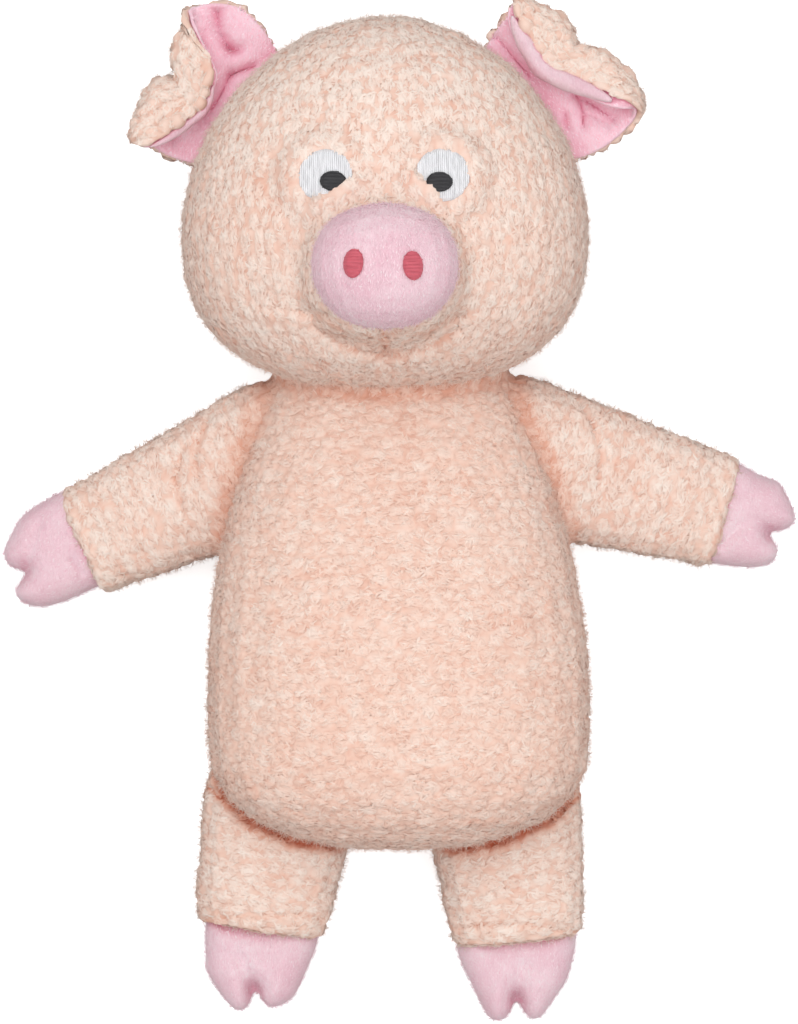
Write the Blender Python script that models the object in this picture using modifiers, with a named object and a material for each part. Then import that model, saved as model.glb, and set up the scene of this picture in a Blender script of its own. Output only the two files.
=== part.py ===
"""A plush toy pig, 0.47 m long, lying on its back with its arms out.

+Y runs from the feet to the head, +Z out of the belly, and -X is the toy's right side.
The floor is z = 0, and the origin is under the middle of the whole toy.
Each stuffed piece is a ball or a sack of plush, blown up by a rule and cut flat where it meets the floor.
"""

from math import cos, exp, pi, radians, sin, sqrt, tan

import bmesh
import bpy
from mathutils import Matrix, Vector

MM = 0.001
GAP = 0.3 * MM              # air between two pieces that touch
SUNK = 4 * MM               # how far the trunk would reach under the floor, if it weren't flat there
FLOOR_BLOCK = Vector((600, 600, 40)) * MM

# Head: half sizes from its middle, and how square its outline is (2 is an ellipse)
HEAD_MIDDLE = Vector((-7.3, 125.9, 70)) * MM
HEAD_HALF_WIDTH = 94.3 * MM
HEAD_CROWN = 101.5 * MM
HEAD_CHIN = 71.5 * MM
HEAD_HALF_DEPTH = 74 * MM
CROWN_SQUARENESS = 1.9
CHIN_SQUARENESS = 2.45
HEAD_DEPTH_SQUARENESS = 2.2

# Muzzle, snout disc and nostrils
MUZZLE_MIDDLE = Vector((-7.4, 109, 122)) * MM
MUZZLE_HALF = Vector((41.5, 36.5, 38)) * MM
MUZZLE_SQUARENESS = 2.3
SNOUT_MIDDLE = Vector((-7.1, 107.5, 147)) * MM
SNOUT_HALF = Vector((32.8, 27.6, 28)) * MM
SNOUT_SQUARENESS = 2.25
SNOUT_NARROWING = 0.05      # how much narrower the disc is at its lower edge
SNOUT_PEAK = 0.6 * MM
SNOUT_PEAK_WIDTH = 6 * MM
NOSTRIL_PLACES = {"right": Vector((-13.6, -0.2)) * MM, "left": Vector((12.2, -1.2)) * MM}
NOSTRIL_HALF = Vector((4.4, 6.4)) * MM
NOSTRIL_THICK = 1.0 * MM
NOSTRIL_LEAN = radians(6)

# Eyes: embroidered white patches with a black pupil on each
EYE_HALF = Vector((12.1, 11.9)) * MM
EYE_THICK = 1.4 * MM
EYE_PLACES = {"right": Vector((-33.3, 147.6)) * MM, "left": Vector((18.3, 148.0)) * MM}
PUPIL_HALF = Vector((5.8, 4.4)) * MM
PUPIL_THICK = 0.8 * MM
PUPIL_PLACES = {"right": Vector((-30.0, 145.2)) * MM, "left": Vector((16.8, 144.8)) * MM}
POST_REACH = 1.3            # the posts that cut out the patches end this many half depths out

# Trunk: a sack that widens from the neck to the belly and closes in a round bottom
TRUNK_NECK_END = 86 * MM
TRUNK_NECK_LINE = 58 * MM
TRUNK_BELLY_LINE = -80 * MM
TRUNK_BOTTOM_LINE = -105 * MM
TRUNK_BOTTOM_END = -156.6 * MM
TRUNK_MIDDLE_X = -1.0 * MM
TRUNK_LEAN = 3.2 * MM       # the neck lies this far to the toy's right of the belly
NECK_HALF_WIDTH = 60 * MM
BELLY_HALF_WIDTH = 89.3 * MM
NECK_DEPTH = 76 * MM
BELLY_DEPTH = 113 * MM
TRUNK_TAPER = 1.8
TRUNK_SQUARENESS = 2.35
NECK_END_SQUARENESS = 3
TRUNK_END_SQUARENESS = 2.3

# Limbs: root and cuff middles, half widths and half depths there
LIMBS = {
    "arm_right": {"root": Vector((-44, 33, 38)) * MM, "cuff": Vector((-148.6, -14.4, 17.5)) * MM,
                  "half_width": (38.5 * MM, 27.8 * MM), "half_depth": (27 * MM, 17.5 * MM)},
    "arm_left": {"root": Vector((38, 31.5, 38)) * MM, "cuff": Vector((150.4, -0.2, 17.5)) * MM,
                 "half_width": (39.5 * MM, 28.4 * MM), "half_depth": (27 * MM, 17.5 * MM)},
    "leg_right": {"root": Vector((-54, -120, 25)) * MM, "cuff": Vector((-66.4, -197.5, 19.5)) * MM,
                  "half_width": (38.3 * MM, 33.0 * MM), "half_depth": (27 * MM, 20.5 * MM)},
    "leg_left": {"root": Vector((46.2, -120, 25)) * MM, "cuff": Vector((54.8, -202.5, 19.5)) * MM,
                 "half_width": (39.3 * MM, 33.0 * MM), "half_depth": (27 * MM, 20.5 * MM)},
}
LIMB_SQUARENESS = 2.4
LIMB_END_SQUARENESS = 8

# Hooves: which way each points, and its palm and two toes, measured from the cuff's middle
HOOVES = {
    "hand_right": {"limb": "arm_right", "heading": radians(208), "palm_half": Vector((24, 26.0, 14.5)) * MM,
                   "toe_half": Vector((25.6, 12.6, 10.5)) * MM, "toe_start": 13.2 * MM, "toe_side": 10.0 * MM},
    "hand_left": {"limb": "arm_left", "heading": radians(-22.5), "palm_half": Vector((23, 25.3, 14.5)) * MM,
                  "toe_half": Vector((23.0, 12.4, 10.5)) * MM, "toe_start": 11.6 * MM, "toe_side": 10.6 * MM},
    "foot_right": {"limb": "leg_right", "heading": radians(265.5), "palm_half": Vector((25.5, 27.2, 15)) * MM,
                   "toe_half": Vector((21.5, 12.2, 10.5)) * MM, "toe_start": 15.0 * MM, "toe_side": 9.2 * MM},
    "foot_left": {"limb": "leg_left", "heading": radians(269.5), "palm_half": Vector((26.5, 27.8, 15)) * MM,
                  "toe_half": Vector((22.4, 11.6, 10.5)) * MM, "toe_start": 15.4 * MM, "toe_side": 9.8 * MM},
}
PALM_START = -2 * MM
PALM_SUNK = 1.5 * MM        # how far a palm and a toe would reach under the floor
TOE_SUNK = 1.2 * MM
PALM_SQUARENESS = 2.8
TOE_SQUARENESS = 2.2

# Ears: a two-layer leaf that grows out of the head and is folded over to the front.
# Local frame: "across" runs up along the head, "outward" away from it.
EARS = {
    "right": {"root": Vector((-78.1, 184.7, 60)) * MM, "across": Vector((0.666, 0.746, 0)),
              "fold_low": 23.0 * MM, "fold_high": 32.5 * MM, "pinch_at": -3.5 * MM, "pinch_depth": 9 * MM,
              "flap_slide": -5 * MM, "bare_rows": 0, "hand": 1},
    "left": {"root": Vector((59.4, 186.3, 60)) * MM, "across": Vector((-0.650, 0.760, 0)),
             "fold_low": 36.0 * MM, "fold_high": 26.0 * MM, "pinch_at": 3.5 * MM, "pinch_depth": 6 * MM,
             "flap_slide": 4 * MM, "bare_rows": 1, "hand": -1},
}
EAR_ROOT_DEPTH = -7 * MM    # the leaf starts this far inside the head
EAR_HALF_WIDTH = 37.5 * MM
EAR_WIDEST_AT = 19 * MM
EAR_TAPER_OVER = 45 * MM
EAR_FLAP_REACH = 26 * MM
EAR_SIDE_BEND = 0.7         # at its sides the leaf ends this far round the fold
EAR_SIDE_TAPER = 0.22
EAR_ROOT_TAPER = 0.75
EAR_FOLD_RADIUS = 6.5 * MM
EAR_FOLD_ROUNDING = 8 * MM
EAR_PINCH_WIDTH = 6 * MM
EAR_CUP = 5 * MM
EAR_SHELL_THICK = 4.2 * MM
EAR_LINING_THICK = 2.0 * MM

# Tail: a small curl of stuffed velour that lies on the floor behind the legs
TAIL_MIDDLE = Vector((3.5, -147.5, 2.9)) * MM
TAIL_CURL_RADIUS = 7.2 * MM
TAIL_THICK = 6.2 * MM
TAIL_ROOT_RISE = 13 * MM
TAIL_START = radians(140)
TAIL_SWEEP = radians(265)
TAIL_DROP = 2.6             # the root comes down to the floor in 1 / 2.6 of the curl
TAIL_POINTS = 14

# How finely each form is divided: cuts of a grid ball, or segments and rings of a sack
HEAD_CUTS = 10
MUZZLE_CUTS = 6
SNOUT_CUTS = 5
PALM_CUTS = 4
TOE_CUTS = 3
POST_SEGMENTS = 16
TRUNK_MESH = (28, 19)
LIMB_MESH = (16, 12)
EAR_MESH = (7, 13)

COLOURS = {
    "boucle": ((0.88, 0.66, 0.55), 0.95),
    "velour": ((0.84, 0.50, 0.62), 0.85),
    "eye_white": ((0.86, 0.86, 0.90), 0.7),
    "pupil_black": ((0.02, 0.02, 0.025), 0.6),
    "nostril_rose": ((0.70, 0.14, 0.22), 0.6),
}


def make_collection(name):
    collection = bpy.data.collections.new(name)
    bpy.context.scene.collection.children.link(collection)
    return collection


def make_material(name, finish):
    colour, roughness = COLOURS[finish]
    material = bpy.data.materials.new(name)
    material.use_nodes = True
    shader = material.node_tree.nodes["Principled BSDF"]
    shader.inputs["Base Color"].default_value = (*colour, 1)
    shader.inputs["Roughness"].default_value = roughness
    shader.inputs["Metallic"].default_value = 0
    return material


def make_mesh(name, bm):
    """Turn a bmesh into a smooth mesh; a closed one gets its faces pointing out."""
    if bm.calc_volume(signed=True) < 0 and all(edge.is_manifold for edge in bm.edges):
        bmesh.ops.reverse_faces(bm, faces=bm.faces[:])
    mesh = bpy.data.meshes.new(name)
    bm.to_mesh(mesh)
    bm.free()
    mesh.shade_smooth()
    return mesh


def add_piece(name, bm, finish):
    """Add one named piece of the toy."""
    mesh = make_mesh(name, bm)
    mesh.materials.append(make_material(name, finish))
    piece = bpy.data.objects.new(name, mesh)
    toy.objects.link(piece)
    piece.parent = middle
    return piece


def add_cutter(name, bm):
    """Add a hidden shape that only cuts or joins other pieces."""
    cutter = bpy.data.objects.new(name, make_mesh(name, bm))
    cutters.objects.link(cutter)
    cutter.parent = middle
    cutter.hide_render = True
    cutter.display_type = "WIRE"
    return cutter


def combine(piece, other, operation, solver="EXACT"):
    """Join, cut or keep the common part; MANIFOLD copes with the thin and near-touching forms."""
    modifier = piece.modifiers.new(f"{operation.lower()} {other.name}", "BOOLEAN")
    modifier.operation = operation
    modifier.solver = solver
    modifier.object = other


def mix(low, high, share):
    return low + (high - low) * share


def ease(share):
    """0 to 1 with a soft start and a soft stop."""
    share = min(1, max(0, share))
    return share * share * (3 - 2 * share)


def round_end(share, squareness):
    """Half width of a form that closes at share 1, as a part of its full half width."""
    return max(0, 1 - min(1, abs(share)) ** squareness) ** (1 / squareness)


def lay_on_floor(piece, solver="EXACT"):
    combine(piece, floor_block, "DIFFERENCE", solver)


# ---- Balls: head, muzzle, snout, hooves ----

def grid_ball(cuts):
    """A cube cut into a grid and blown up, so that all its faces are much alike."""
    bm = bmesh.new()
    bmesh.ops.create_cube(bm, size=2)
    bmesh.ops.subdivide_edges(bm, edges=bm.edges[:], cuts=cuts, use_grid_fill=True)
    for vert in bm.verts:
        vert.co = Vector([tan(place * pi / 4) for place in vert.co]).normalized()
    return bm


def swell(direction, half, outline, depth):
    """The point in a direction on a ball with these half sizes and squarenesses."""
    plan = abs(direction.x / half.x) ** outline + abs(direction.y / half.y) ** outline
    rise = abs(direction.z / half.z) ** depth
    return direction * (plan ** (depth / outline) + rise) ** (-1 / depth)


def grown(half, grow):
    return half + Vector((grow, grow, grow))


def head_bmesh(grow):
    bm = grid_ball(HEAD_CUTS)
    for vert in bm.verts:
        above = vert.co.y >= 0
        half = Vector((HEAD_HALF_WIDTH, HEAD_CROWN if above else HEAD_CHIN, HEAD_HALF_DEPTH))
        outline = CROWN_SQUARENESS if above else CHIN_SQUARENESS
        vert.co = HEAD_MIDDLE + swell(vert.co, grown(half, grow), outline, HEAD_DEPTH_SQUARENESS)
    return bm


def plain_ball_bmesh(cuts, place, half, squareness, grow=0.0):
    bm = grid_ball(cuts)
    for vert in bm.verts:
        vert.co = place + swell(vert.co, grown(half, grow), squareness, squareness)
    return bm


def muzzle_bmesh(grow):
    return plain_ball_bmesh(MUZZLE_CUTS, MUZZLE_MIDDLE, MUZZLE_HALF, MUZZLE_SQUARENESS, grow)


def build_head():
    head = add_piece("head", head_bmesh(0), "boucle")
    combine(head, add_cutter("muzzle_form", muzzle_bmesh(0)), "UNION")
    lay_on_floor(head)


def build_snout():
    """The velour disc on the end of the muzzle, a little pointed at its top edge."""
    snout = add_piece("snout", snout_bmesh(0), "velour")
    combine(snout, muzzle_room, "DIFFERENCE")
    combine(snout, head_room, "DIFFERENCE")


def snout_bmesh(grow):
    bm = plain_ball_bmesh(SNOUT_CUTS, Vector(), SNOUT_HALF, SNOUT_SQUARENESS, grow)
    for vert in bm.verts:
        height = vert.co.y / SNOUT_HALF.y
        vert.co.x *= 1 - SNOUT_NARROWING * ease(-height)
        vert.co.y += SNOUT_PEAK * exp(-(vert.co.x / SNOUT_PEAK_WIDTH) ** 2) * ease(height)
        vert.co += SNOUT_MIDDLE
    return bm


def oval_post(place, half, low, high, turn=0.0):
    """An upright oval post, for a patch that is cut from a curved layer."""
    bm = bmesh.new()
    bmesh.ops.create_cone(bm, cap_ends=True, segments=POST_SEGMENTS, radius1=1, radius2=1, depth=1)
    bmesh.ops.scale(bm, vec=(half.x, half.y, high - low), verts=bm.verts[:])
    bmesh.ops.rotate(bm, cent=(0, 0, 0), matrix=Matrix.Rotation(turn, 3, "Z"), verts=bm.verts[:])
    bmesh.ops.translate(bm, vec=(place.x, place.y, (low + high) / 2), verts=bm.verts[:])
    return bm


def build_eyes():
    """Each patch is an oval cut from a thin layer over the face; the muzzle hides its lower corner."""
    eye_outside = add_cutter("eye_outside", head_bmesh(GAP + EYE_THICK))
    pupil_inside = add_cutter("pupil_inside", head_bmesh(2 * GAP + EYE_THICK))
    pupil_outside = add_cutter("pupil_outside", head_bmesh(2 * GAP + EYE_THICK + PUPIL_THICK))
    low, high = HEAD_MIDDLE.z, HEAD_MIDDLE.z + POST_REACH * HEAD_HALF_DEPTH
    for side in ("right", "left"):
        eye = add_piece(f"eye_{side}", oval_post(EYE_PLACES[side], EYE_HALF, low, high), "eye_white")
        combine(eye, eye_outside, "INTERSECT")
        combine(eye, head_room, "DIFFERENCE")
        combine(eye, muzzle_room, "DIFFERENCE")
        pupil = add_piece(f"pupil_{side}", oval_post(PUPIL_PLACES[side], PUPIL_HALF, low, high), "pupil_black")
        combine(pupil, pupil_outside, "INTERSECT")
        combine(pupil, pupil_inside, "DIFFERENCE")
        combine(pupil, muzzle_room, "DIFFERENCE")


def build_nostrils():
    snout_inside = add_cutter("nostril_inside", snout_bmesh(GAP))
    snout_outside = add_cutter("nostril_outside", snout_bmesh(GAP + NOSTRIL_THICK))
    low, high = SNOUT_MIDDLE.z, SNOUT_MIDDLE.z + POST_REACH * SNOUT_HALF.z
    for side, place in NOSTRIL_PLACES.items():
        lean = NOSTRIL_LEAN if place.x > 0 else -NOSTRIL_LEAN
        post = oval_post(SNOUT_MIDDLE.xy + place, NOSTRIL_HALF, low, high, lean)
        nostril = add_piece(f"nostril_{side}", post, "nostril_rose")
        combine(nostril, snout_outside, "INTERSECT")
        combine(nostril, snout_inside, "DIFFERENCE")


# ---- Sacks: trunk and limbs, made from a round ball whose poles are the sack's two ends ----

def pole_ball(segments, rings, length_axis):
    """A round ball with its poles along an axis of the toy."""
    bm = bmesh.new()
    bmesh.ops.create_uvsphere(bm, u_segments=segments, v_segments=rings, radius=1)
    turn = Vector((0, 0, 1)).rotation_difference(length_axis).to_matrix()
    bmesh.ops.rotate(bm, cent=(0, 0, 0), matrix=turn, verts=bm.verts[:])
    return bm


def section(sideways, upwards, squareness):
    """A direction across the sack, stretched from a circle to a softly squared one."""
    length = sqrt(sideways ** 2 + upwards ** 2)
    if length < 1e-6:
        return 0, 0
    sideways, upwards = sideways / length, upwards / length
    reach = (abs(sideways) ** squareness + abs(upwards) ** squareness) ** (-1 / squareness)
    return sideways * reach, upwards * reach


def trunk_bmesh(grow):
    bm = pole_ball(*TRUNK_MESH, Vector((0, 1, 0)))
    for vert in bm.verts:
        along = mix(TRUNK_BOTTOM_END - grow, TRUNK_NECK_END, (vert.co.y + 1) / 2)
        neckward = max(0, (along - TRUNK_BELLY_LINE) / (TRUNK_NECK_LINE - TRUNK_BELLY_LINE)) ** TRUNK_TAPER
        half_width = mix(BELLY_HALF_WIDTH, NECK_HALF_WIDTH, neckward)
        depth = mix(BELLY_DEPTH, NECK_DEPTH, neckward)
        close = round_end(max(0, (TRUNK_BOTTOM_LINE - along) / (TRUNK_BOTTOM_LINE - TRUNK_BOTTOM_END + grow)),
                          TRUNK_END_SQUARENESS)
        close *= round_end(max(0, (along - TRUNK_NECK_LINE) / (TRUNK_NECK_END - TRUNK_NECK_LINE)),
                           NECK_END_SQUARENESS)
        sideways, upwards = section(vert.co.x, vert.co.z, TRUNK_SQUARENESS)
        vert.co = Vector((TRUNK_MIDDLE_X - TRUNK_LEAN * sqrt(neckward) + sideways * (half_width * close + grow),
                          along,
                          (depth - SUNK) / 2 + upwards * ((depth + SUNK) / 2 * close + grow)))
    return bm


def limb_bmesh(limb, grow):
    bm = pole_ball(*LIMB_MESH, Vector((1, 0, 0)))
    run = limb["cuff"] - limb["root"]
    flat_run = Vector((run.x, run.y, 0)).normalized()
    side = Vector((-flat_run.y, flat_run.x, 0))
    for vert in bm.verts:
        share = (vert.co.x + 1) / 2
        close = round_end(vert.co.x, LIMB_END_SQUARENESS)
        half_width = mix(*limb["half_width"], share) * close + grow
        half_depth = mix(*limb["half_depth"], share) * close + grow
        sideways, upwards = section(vert.co.y, vert.co.z, LIMB_SQUARENESS)
        centre = limb["root"] + run * share + flat_run * grow * vert.co.x
        vert.co = centre + side * sideways * half_width + Vector((0, 0, upwards * half_depth))
    return bm


def build_trunk_and_limbs():
    trunk = add_piece("trunk", trunk_bmesh(0), "boucle")
    combine(trunk, head_room, "DIFFERENCE")
    lay_on_floor(trunk)
    for name, limb in LIMBS.items():
        piece = add_piece(name, limb_bmesh(limb, 0), "boucle")
        combine(piece, trunk_room, "DIFFERENCE")
        combine(piece, head_room, "DIFFERENCE")
        lay_on_floor(piece)


def build_hooves():
    """A flat velour palm with two toes, which starts where the plush of the limb ends."""
    for name, hoof in HOOVES.items():
        limb = LIMBS[hoof["limb"]]
        turn = Matrix.Rotation(hoof["heading"], 4, "Z")
        place = Matrix.Translation(Vector((limb["cuff"].x, limb["cuff"].y, 0))) @ turn
        palm_middle = Vector((PALM_START, 0, hoof["palm_half"].z - PALM_SUNK))
        palm = plain_ball_bmesh(PALM_CUTS, palm_middle, hoof["palm_half"], PALM_SQUARENESS)
        palm.transform(place)
        piece = add_piece(f"{name}_hoof", palm, "velour")
        for toe_name, sign in (("outer", 1), ("inner", -1)):
            toe_middle = Vector((hoof["toe_start"], sign * hoof["toe_side"], hoof["toe_half"].z - TOE_SUNK))
            toe = plain_ball_bmesh(TOE_CUTS, toe_middle, hoof["toe_half"], TOE_SQUARENESS)
            toe.transform(place)
            combine(piece, add_cutter(f"{name}_{toe_name}_toe", toe), "UNION", "MANIFOLD")
        combine(piece, add_cutter(f"{name}_cuff_room", limb_bmesh(limb, GAP)), "DIFFERENCE", "MANIFOLD")
        lay_on_floor(piece, "MANIFOLD")


# ---- Ears ----

def leaf_half_width(outward):
    """Half width of the unfolded ear at a distance from its root."""
    swing = (outward - EAR_WIDEST_AT) / EAR_TAPER_OVER
    return EAR_HALF_WIDTH * (1 - (EAR_SIDE_TAPER if swing > 0 else EAR_ROOT_TAPER) * swing * swing)


def leaf_point(ear, sideways, share):
    """A point of the folded ear: sideways is -1 to 1, and share runs from root to tip."""
    bend_length = pi * EAR_FOLD_RADIUS
    fold_at = mix(ear["fold_low"], ear["fold_high"], ease((sideways + 1) / 2)) - EAR_FOLD_ROUNDING * sideways ** 4
    length = fold_at + EAR_SIDE_BEND * bend_length + EAR_FLAP_REACH * sqrt(max(0, 1 - sideways ** 2))
    outward = mix(EAR_ROOT_DEPTH, length, share)
    across = sideways * leaf_half_width(outward)
    height = EAR_CUP * (sideways ** 2) * ease(outward / EAR_WIDEST_AT)
    past_fold = outward - fold_at
    from_crease = (past_fold - bend_length / 2) / bend_length
    pinch = ear["pinch_depth"] * exp(-((across - ear["pinch_at"]) / EAR_PINCH_WIDTH) ** 2 - from_crease ** 2)
    if past_fold > 0:
        bend = min(pi, past_fold / EAR_FOLD_RADIUS)
        outward = fold_at + EAR_FOLD_RADIUS * sin(bend) - max(0, past_fold - bend_length)
        height += EAR_FOLD_RADIUS * (1 - cos(bend))
        across += ear["flap_slide"] * ease(past_fold / bend_length)
    return across, outward - pinch, height


def leaf_bmesh(ear, bare_rows, facing):
    """The folded leaf as an open surface facing back (-1) or front (1), with its last rows left off."""
    bm = bmesh.new()
    bmesh.ops.create_grid(bm, x_segments=EAR_MESH[0], y_segments=EAR_MESH[1], size=1)
    last_row = 1 - 2 * bare_rows / EAR_MESH[1]
    bare = [vert for vert in bm.verts if vert.co.y > last_row + 0.01]
    bmesh.ops.delete(bm, geom=bare, context="VERTS")
    up_head = ear["across"].normalized()
    away = Vector((-up_head.y, up_head.x, 0)) * ear["hand"]
    for vert in bm.verts:
        across, outward, height = leaf_point(ear, vert.co.x, (vert.co.y + 1) / 2)
        vert.co = ear["root"] + up_head * across + away * outward + Vector((0, 0, height))
    if ear["hand"] != facing:
        bmesh.ops.reverse_faces(bm, faces=bm.faces[:])
    bm.normal_update()
    for vert in bm.verts:
        vert.co += vert.normal * GAP / 2
    return bm


def build_ears():
    """A plush shell and a velour lining, back to back through the whole fold."""
    for side, ear in EARS.items():
        shell = add_sheet(f"ear_{side}_shell", leaf_bmesh(ear, ear["bare_rows"], -1), "boucle", EAR_SHELL_THICK)
        lining = add_sheet(f"ear_{side}_lining", leaf_bmesh(ear, 0, 1), "velour", EAR_LINING_THICK)
        for layer in (shell, lining):
            combine(layer, head_room, "DIFFERENCE", "MANIFOLD")


def add_sheet(name, bm, finish, thickness):
    """Add an open surface that gets its thickness on the side its faces point to."""
    piece = add_piece(name, bm, finish)
    solidify = piece.modifiers.new("thickness", "SOLIDIFY")
    solidify.thickness = thickness
    solidify.offset = 1
    return piece


# ---- Tail ----

def build_tail():
    """A curl that starts inside the trunk, with its far end rounded off."""
    curve = bpy.data.curves.new("tail_line", "CURVE")
    curve.dimensions = "3D"
    curve.bevel_depth = TAIL_THICK / 2
    curve.bevel_resolution = 2
    curve.use_fill_caps = True
    spline = curve.splines.new("POLY")
    spline.points.add(TAIL_POINTS - 1)
    for number, point in enumerate(spline.points):
        share = number / (TAIL_POINTS - 1)
        angle = TAIL_START + TAIL_SWEEP * share
        rise = TAIL_ROOT_RISE * (1 - ease(TAIL_DROP * share))
        curl = Vector((cos(angle), sin(angle), 0)) * TAIL_CURL_RADIUS
        point.co = (*(TAIL_MIDDLE + curl + Vector((0, 0, rise))), 1)
        point.radius = min(1, 0.5 + 1.4 * sqrt(1 - share))
    line = bpy.data.objects.new("tail_line", curve)
    cutters.objects.link(line)
    bpy.context.view_layer.update()
    mesh = bpy.data.meshes.new_from_object(line.evaluated_get(bpy.context.evaluated_depsgraph_get()))
    bpy.data.objects.remove(line)
    bm = bmesh.new()
    bm.from_mesh(mesh)
    bpy.data.meshes.remove(mesh)
    bmesh.ops.remove_doubles(bm, verts=bm.verts[:], dist=0.01 * MM)
    tail = add_piece("tail", bm, "velour")
    combine(tail, trunk_room, "DIFFERENCE")
    lay_on_floor(tail)


def centre_toy():
    """Put the origin under the middle of the whole toy."""
    bpy.context.view_layer.update()
    depsgraph = bpy.context.evaluated_depsgraph_get()
    corners = []
    for piece in toy.objects:
        if piece.type == "MESH":
            evaluated = piece.evaluated_get(depsgraph)
            corners += [evaluated.matrix_world @ vert.co for vert in evaluated.data.vertices]
    for axis in (0, 1):
        places = [corner[axis] for corner in corners]
        middle.location[axis] = -(min(places) + max(places)) / 2
    bpy.context.view_layer.update()


for old in list(bpy.data.objects):
    bpy.data.objects.remove(old)

toy = make_collection("plush_toy_pig")
cutters = make_collection("cutters")
middle = bpy.data.objects.new("toy_middle", None)
toy.objects.link(middle)
floor = bmesh.new()
bmesh.ops.create_cube(floor, size=1)
bmesh.ops.scale(floor, vec=FLOOR_BLOCK, verts=floor.verts[:])
bmesh.ops.translate(floor, vec=(0, 0, -FLOOR_BLOCK.z / 2), verts=floor.verts[:])
floor_block = add_cutter("floor_block", floor)
head_room = add_cutter("head_room", head_bmesh(GAP))
muzzle_room = add_cutter("muzzle_room", muzzle_bmesh(GAP))
trunk_room = add_cutter("trunk_room", trunk_bmesh(GAP))

build_head()
build_snout()
build_eyes()
build_nostrils()
build_trunk_and_limbs()
build_tail()
build_hooves()
build_ears()
centre_toy()
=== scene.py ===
# %% [markdown]
# # A plush toy pig in curly boucle
#
# The toy is a sewn and stuffed pig: a boucle cover with velour snout, ears and hooves and embroidered eyes.
# The frame already holds its stuffed solids at their real size. This lesson dresses them: first the camera,
# then a cover with knitted nubs and the curls on them, and last the velour, the stitching and the light.

from itertools import product
from math import cos, pi, radians, sin, sqrt

import bmesh
import bpy
import numpy as np
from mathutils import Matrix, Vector, noise
from mathutils.bvhtree import BVHTree
from mathutils.kdtree import KDTree


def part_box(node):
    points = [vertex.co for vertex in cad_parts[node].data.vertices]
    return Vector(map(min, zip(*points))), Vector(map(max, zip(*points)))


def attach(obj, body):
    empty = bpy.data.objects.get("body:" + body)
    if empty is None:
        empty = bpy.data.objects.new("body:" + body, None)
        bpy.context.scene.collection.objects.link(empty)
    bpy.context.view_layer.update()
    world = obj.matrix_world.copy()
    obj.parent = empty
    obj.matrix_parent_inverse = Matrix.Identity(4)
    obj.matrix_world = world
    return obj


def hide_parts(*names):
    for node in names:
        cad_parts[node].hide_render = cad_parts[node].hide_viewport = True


MM = 0.001
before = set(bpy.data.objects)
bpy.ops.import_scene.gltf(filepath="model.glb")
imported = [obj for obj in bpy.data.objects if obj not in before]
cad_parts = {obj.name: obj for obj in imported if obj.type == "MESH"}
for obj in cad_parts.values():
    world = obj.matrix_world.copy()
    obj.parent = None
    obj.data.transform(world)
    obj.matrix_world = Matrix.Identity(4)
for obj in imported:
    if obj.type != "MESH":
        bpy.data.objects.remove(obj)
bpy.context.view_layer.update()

# %% [markdown]
# ## Camera
#
# The toy lies on its back, and the camera hangs over it and looks straight down, a long way off so that
# the hooves at the floor and the snout near the lens keep nearly the same scale. Its long side is the toy's
# length, and the place that is seen without any change of scale is half way up the belly.

# %% Camera
VIEW_LENGTH = 471 * MM          # how much of the toy's length fills the picture, half way up the belly
VIEW_HEIGHT = 50 * MM
CAMERA_RISE = 2.0
VIEW_SHIFT_X = -0.4 * MM
VIEW_SHIFT_Y = 2.8 * MM
SENSOR = 36

camera_data = bpy.data.cameras.new("camera")
camera_data.sensor_width = SENSOR
camera_data.lens = SENSOR * CAMERA_RISE / VIEW_LENGTH
camera = bpy.data.objects.new("camera", camera_data)
camera.location = (VIEW_SHIFT_X, VIEW_SHIFT_Y, VIEW_HEIGHT + CAMERA_RISE)
bpy.context.scene.collection.objects.link(camera)
bpy.context.scene.camera = camera
print("lens:", round(camera_data.lens, 1), "mm")

# %% [markdown]
# ## Meshes from the frame
#
# Each stuffed piece starts as a copy of its solid. A solid from the frame is loose triangles, so its corners
# are merged first. A voxel remesh then gives an even skin, and a few rounds of smoothing take facets away.

# %% Copies of the solids
WELD = 0.01 * MM


def welded_copy(node, grow=0.0):
    """The node's mesh as a bmesh with its corners merged, blown up by grow."""
    bm = bmesh.new()
    bm.from_mesh(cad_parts[node].data)
    bmesh.ops.remove_doubles(bm, verts=bm.verts[:], dist=WELD)
    bm.normal_update()
    for vert in bm.verts:
        vert.co += vert.normal * grow
    return bm


def mesh_of(bm, name):
    mesh = bpy.data.meshes.new(name)
    bm.to_mesh(mesh)
    bm.free()
    return mesh


def pour(part, bm):
    """Add all of one bmesh to another."""
    loose = mesh_of(part, "loose")
    bm.from_mesh(loose)
    bpy.data.meshes.remove(loose)


def add_object(name, data):
    piece = bpy.data.objects.new(name, data)
    bpy.context.scene.collection.objects.link(piece)
    return piece


def finished_mesh(piece):
    """What the modifiers of a mesh, or the thickness of a curve, make of it."""
    bpy.context.view_layer.update()
    return bpy.data.meshes.new_from_object(piece.evaluated_get(bpy.context.evaluated_depsgraph_get()))


def smooth_and_keep(piece, rounds):
    """Smooth a piece after its other modifiers, and make the result its own mesh."""
    smooth = piece.modifiers.new("smooth", "SMOOTH")
    smooth.factor = 0.5
    smooth.iterations = rounds
    made = finished_mesh(piece)
    piece.modifiers.clear()
    piece.data = made
    made.name = piece.name
    made.shade_smooth()
    return piece


def remesh(piece, voxel, rounds):
    """Give a piece an even skin of small faces."""
    skin = piece.modifiers.new("skin", "REMESH")
    skin.mode = "VOXEL"
    skin.voxel_size = voxel
    return smooth_and_keep(piece, rounds)


def even_skin(name, nodes, voxel, rounds, grow=0.0):
    """One closed, even mesh around some nodes, and its object."""
    bm = bmesh.new()
    for node in nodes:
        pour(welded_copy(node, grow), bm)
    return remesh(add_object(name, mesh_of(bm, name)), voxel, rounds)


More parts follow.
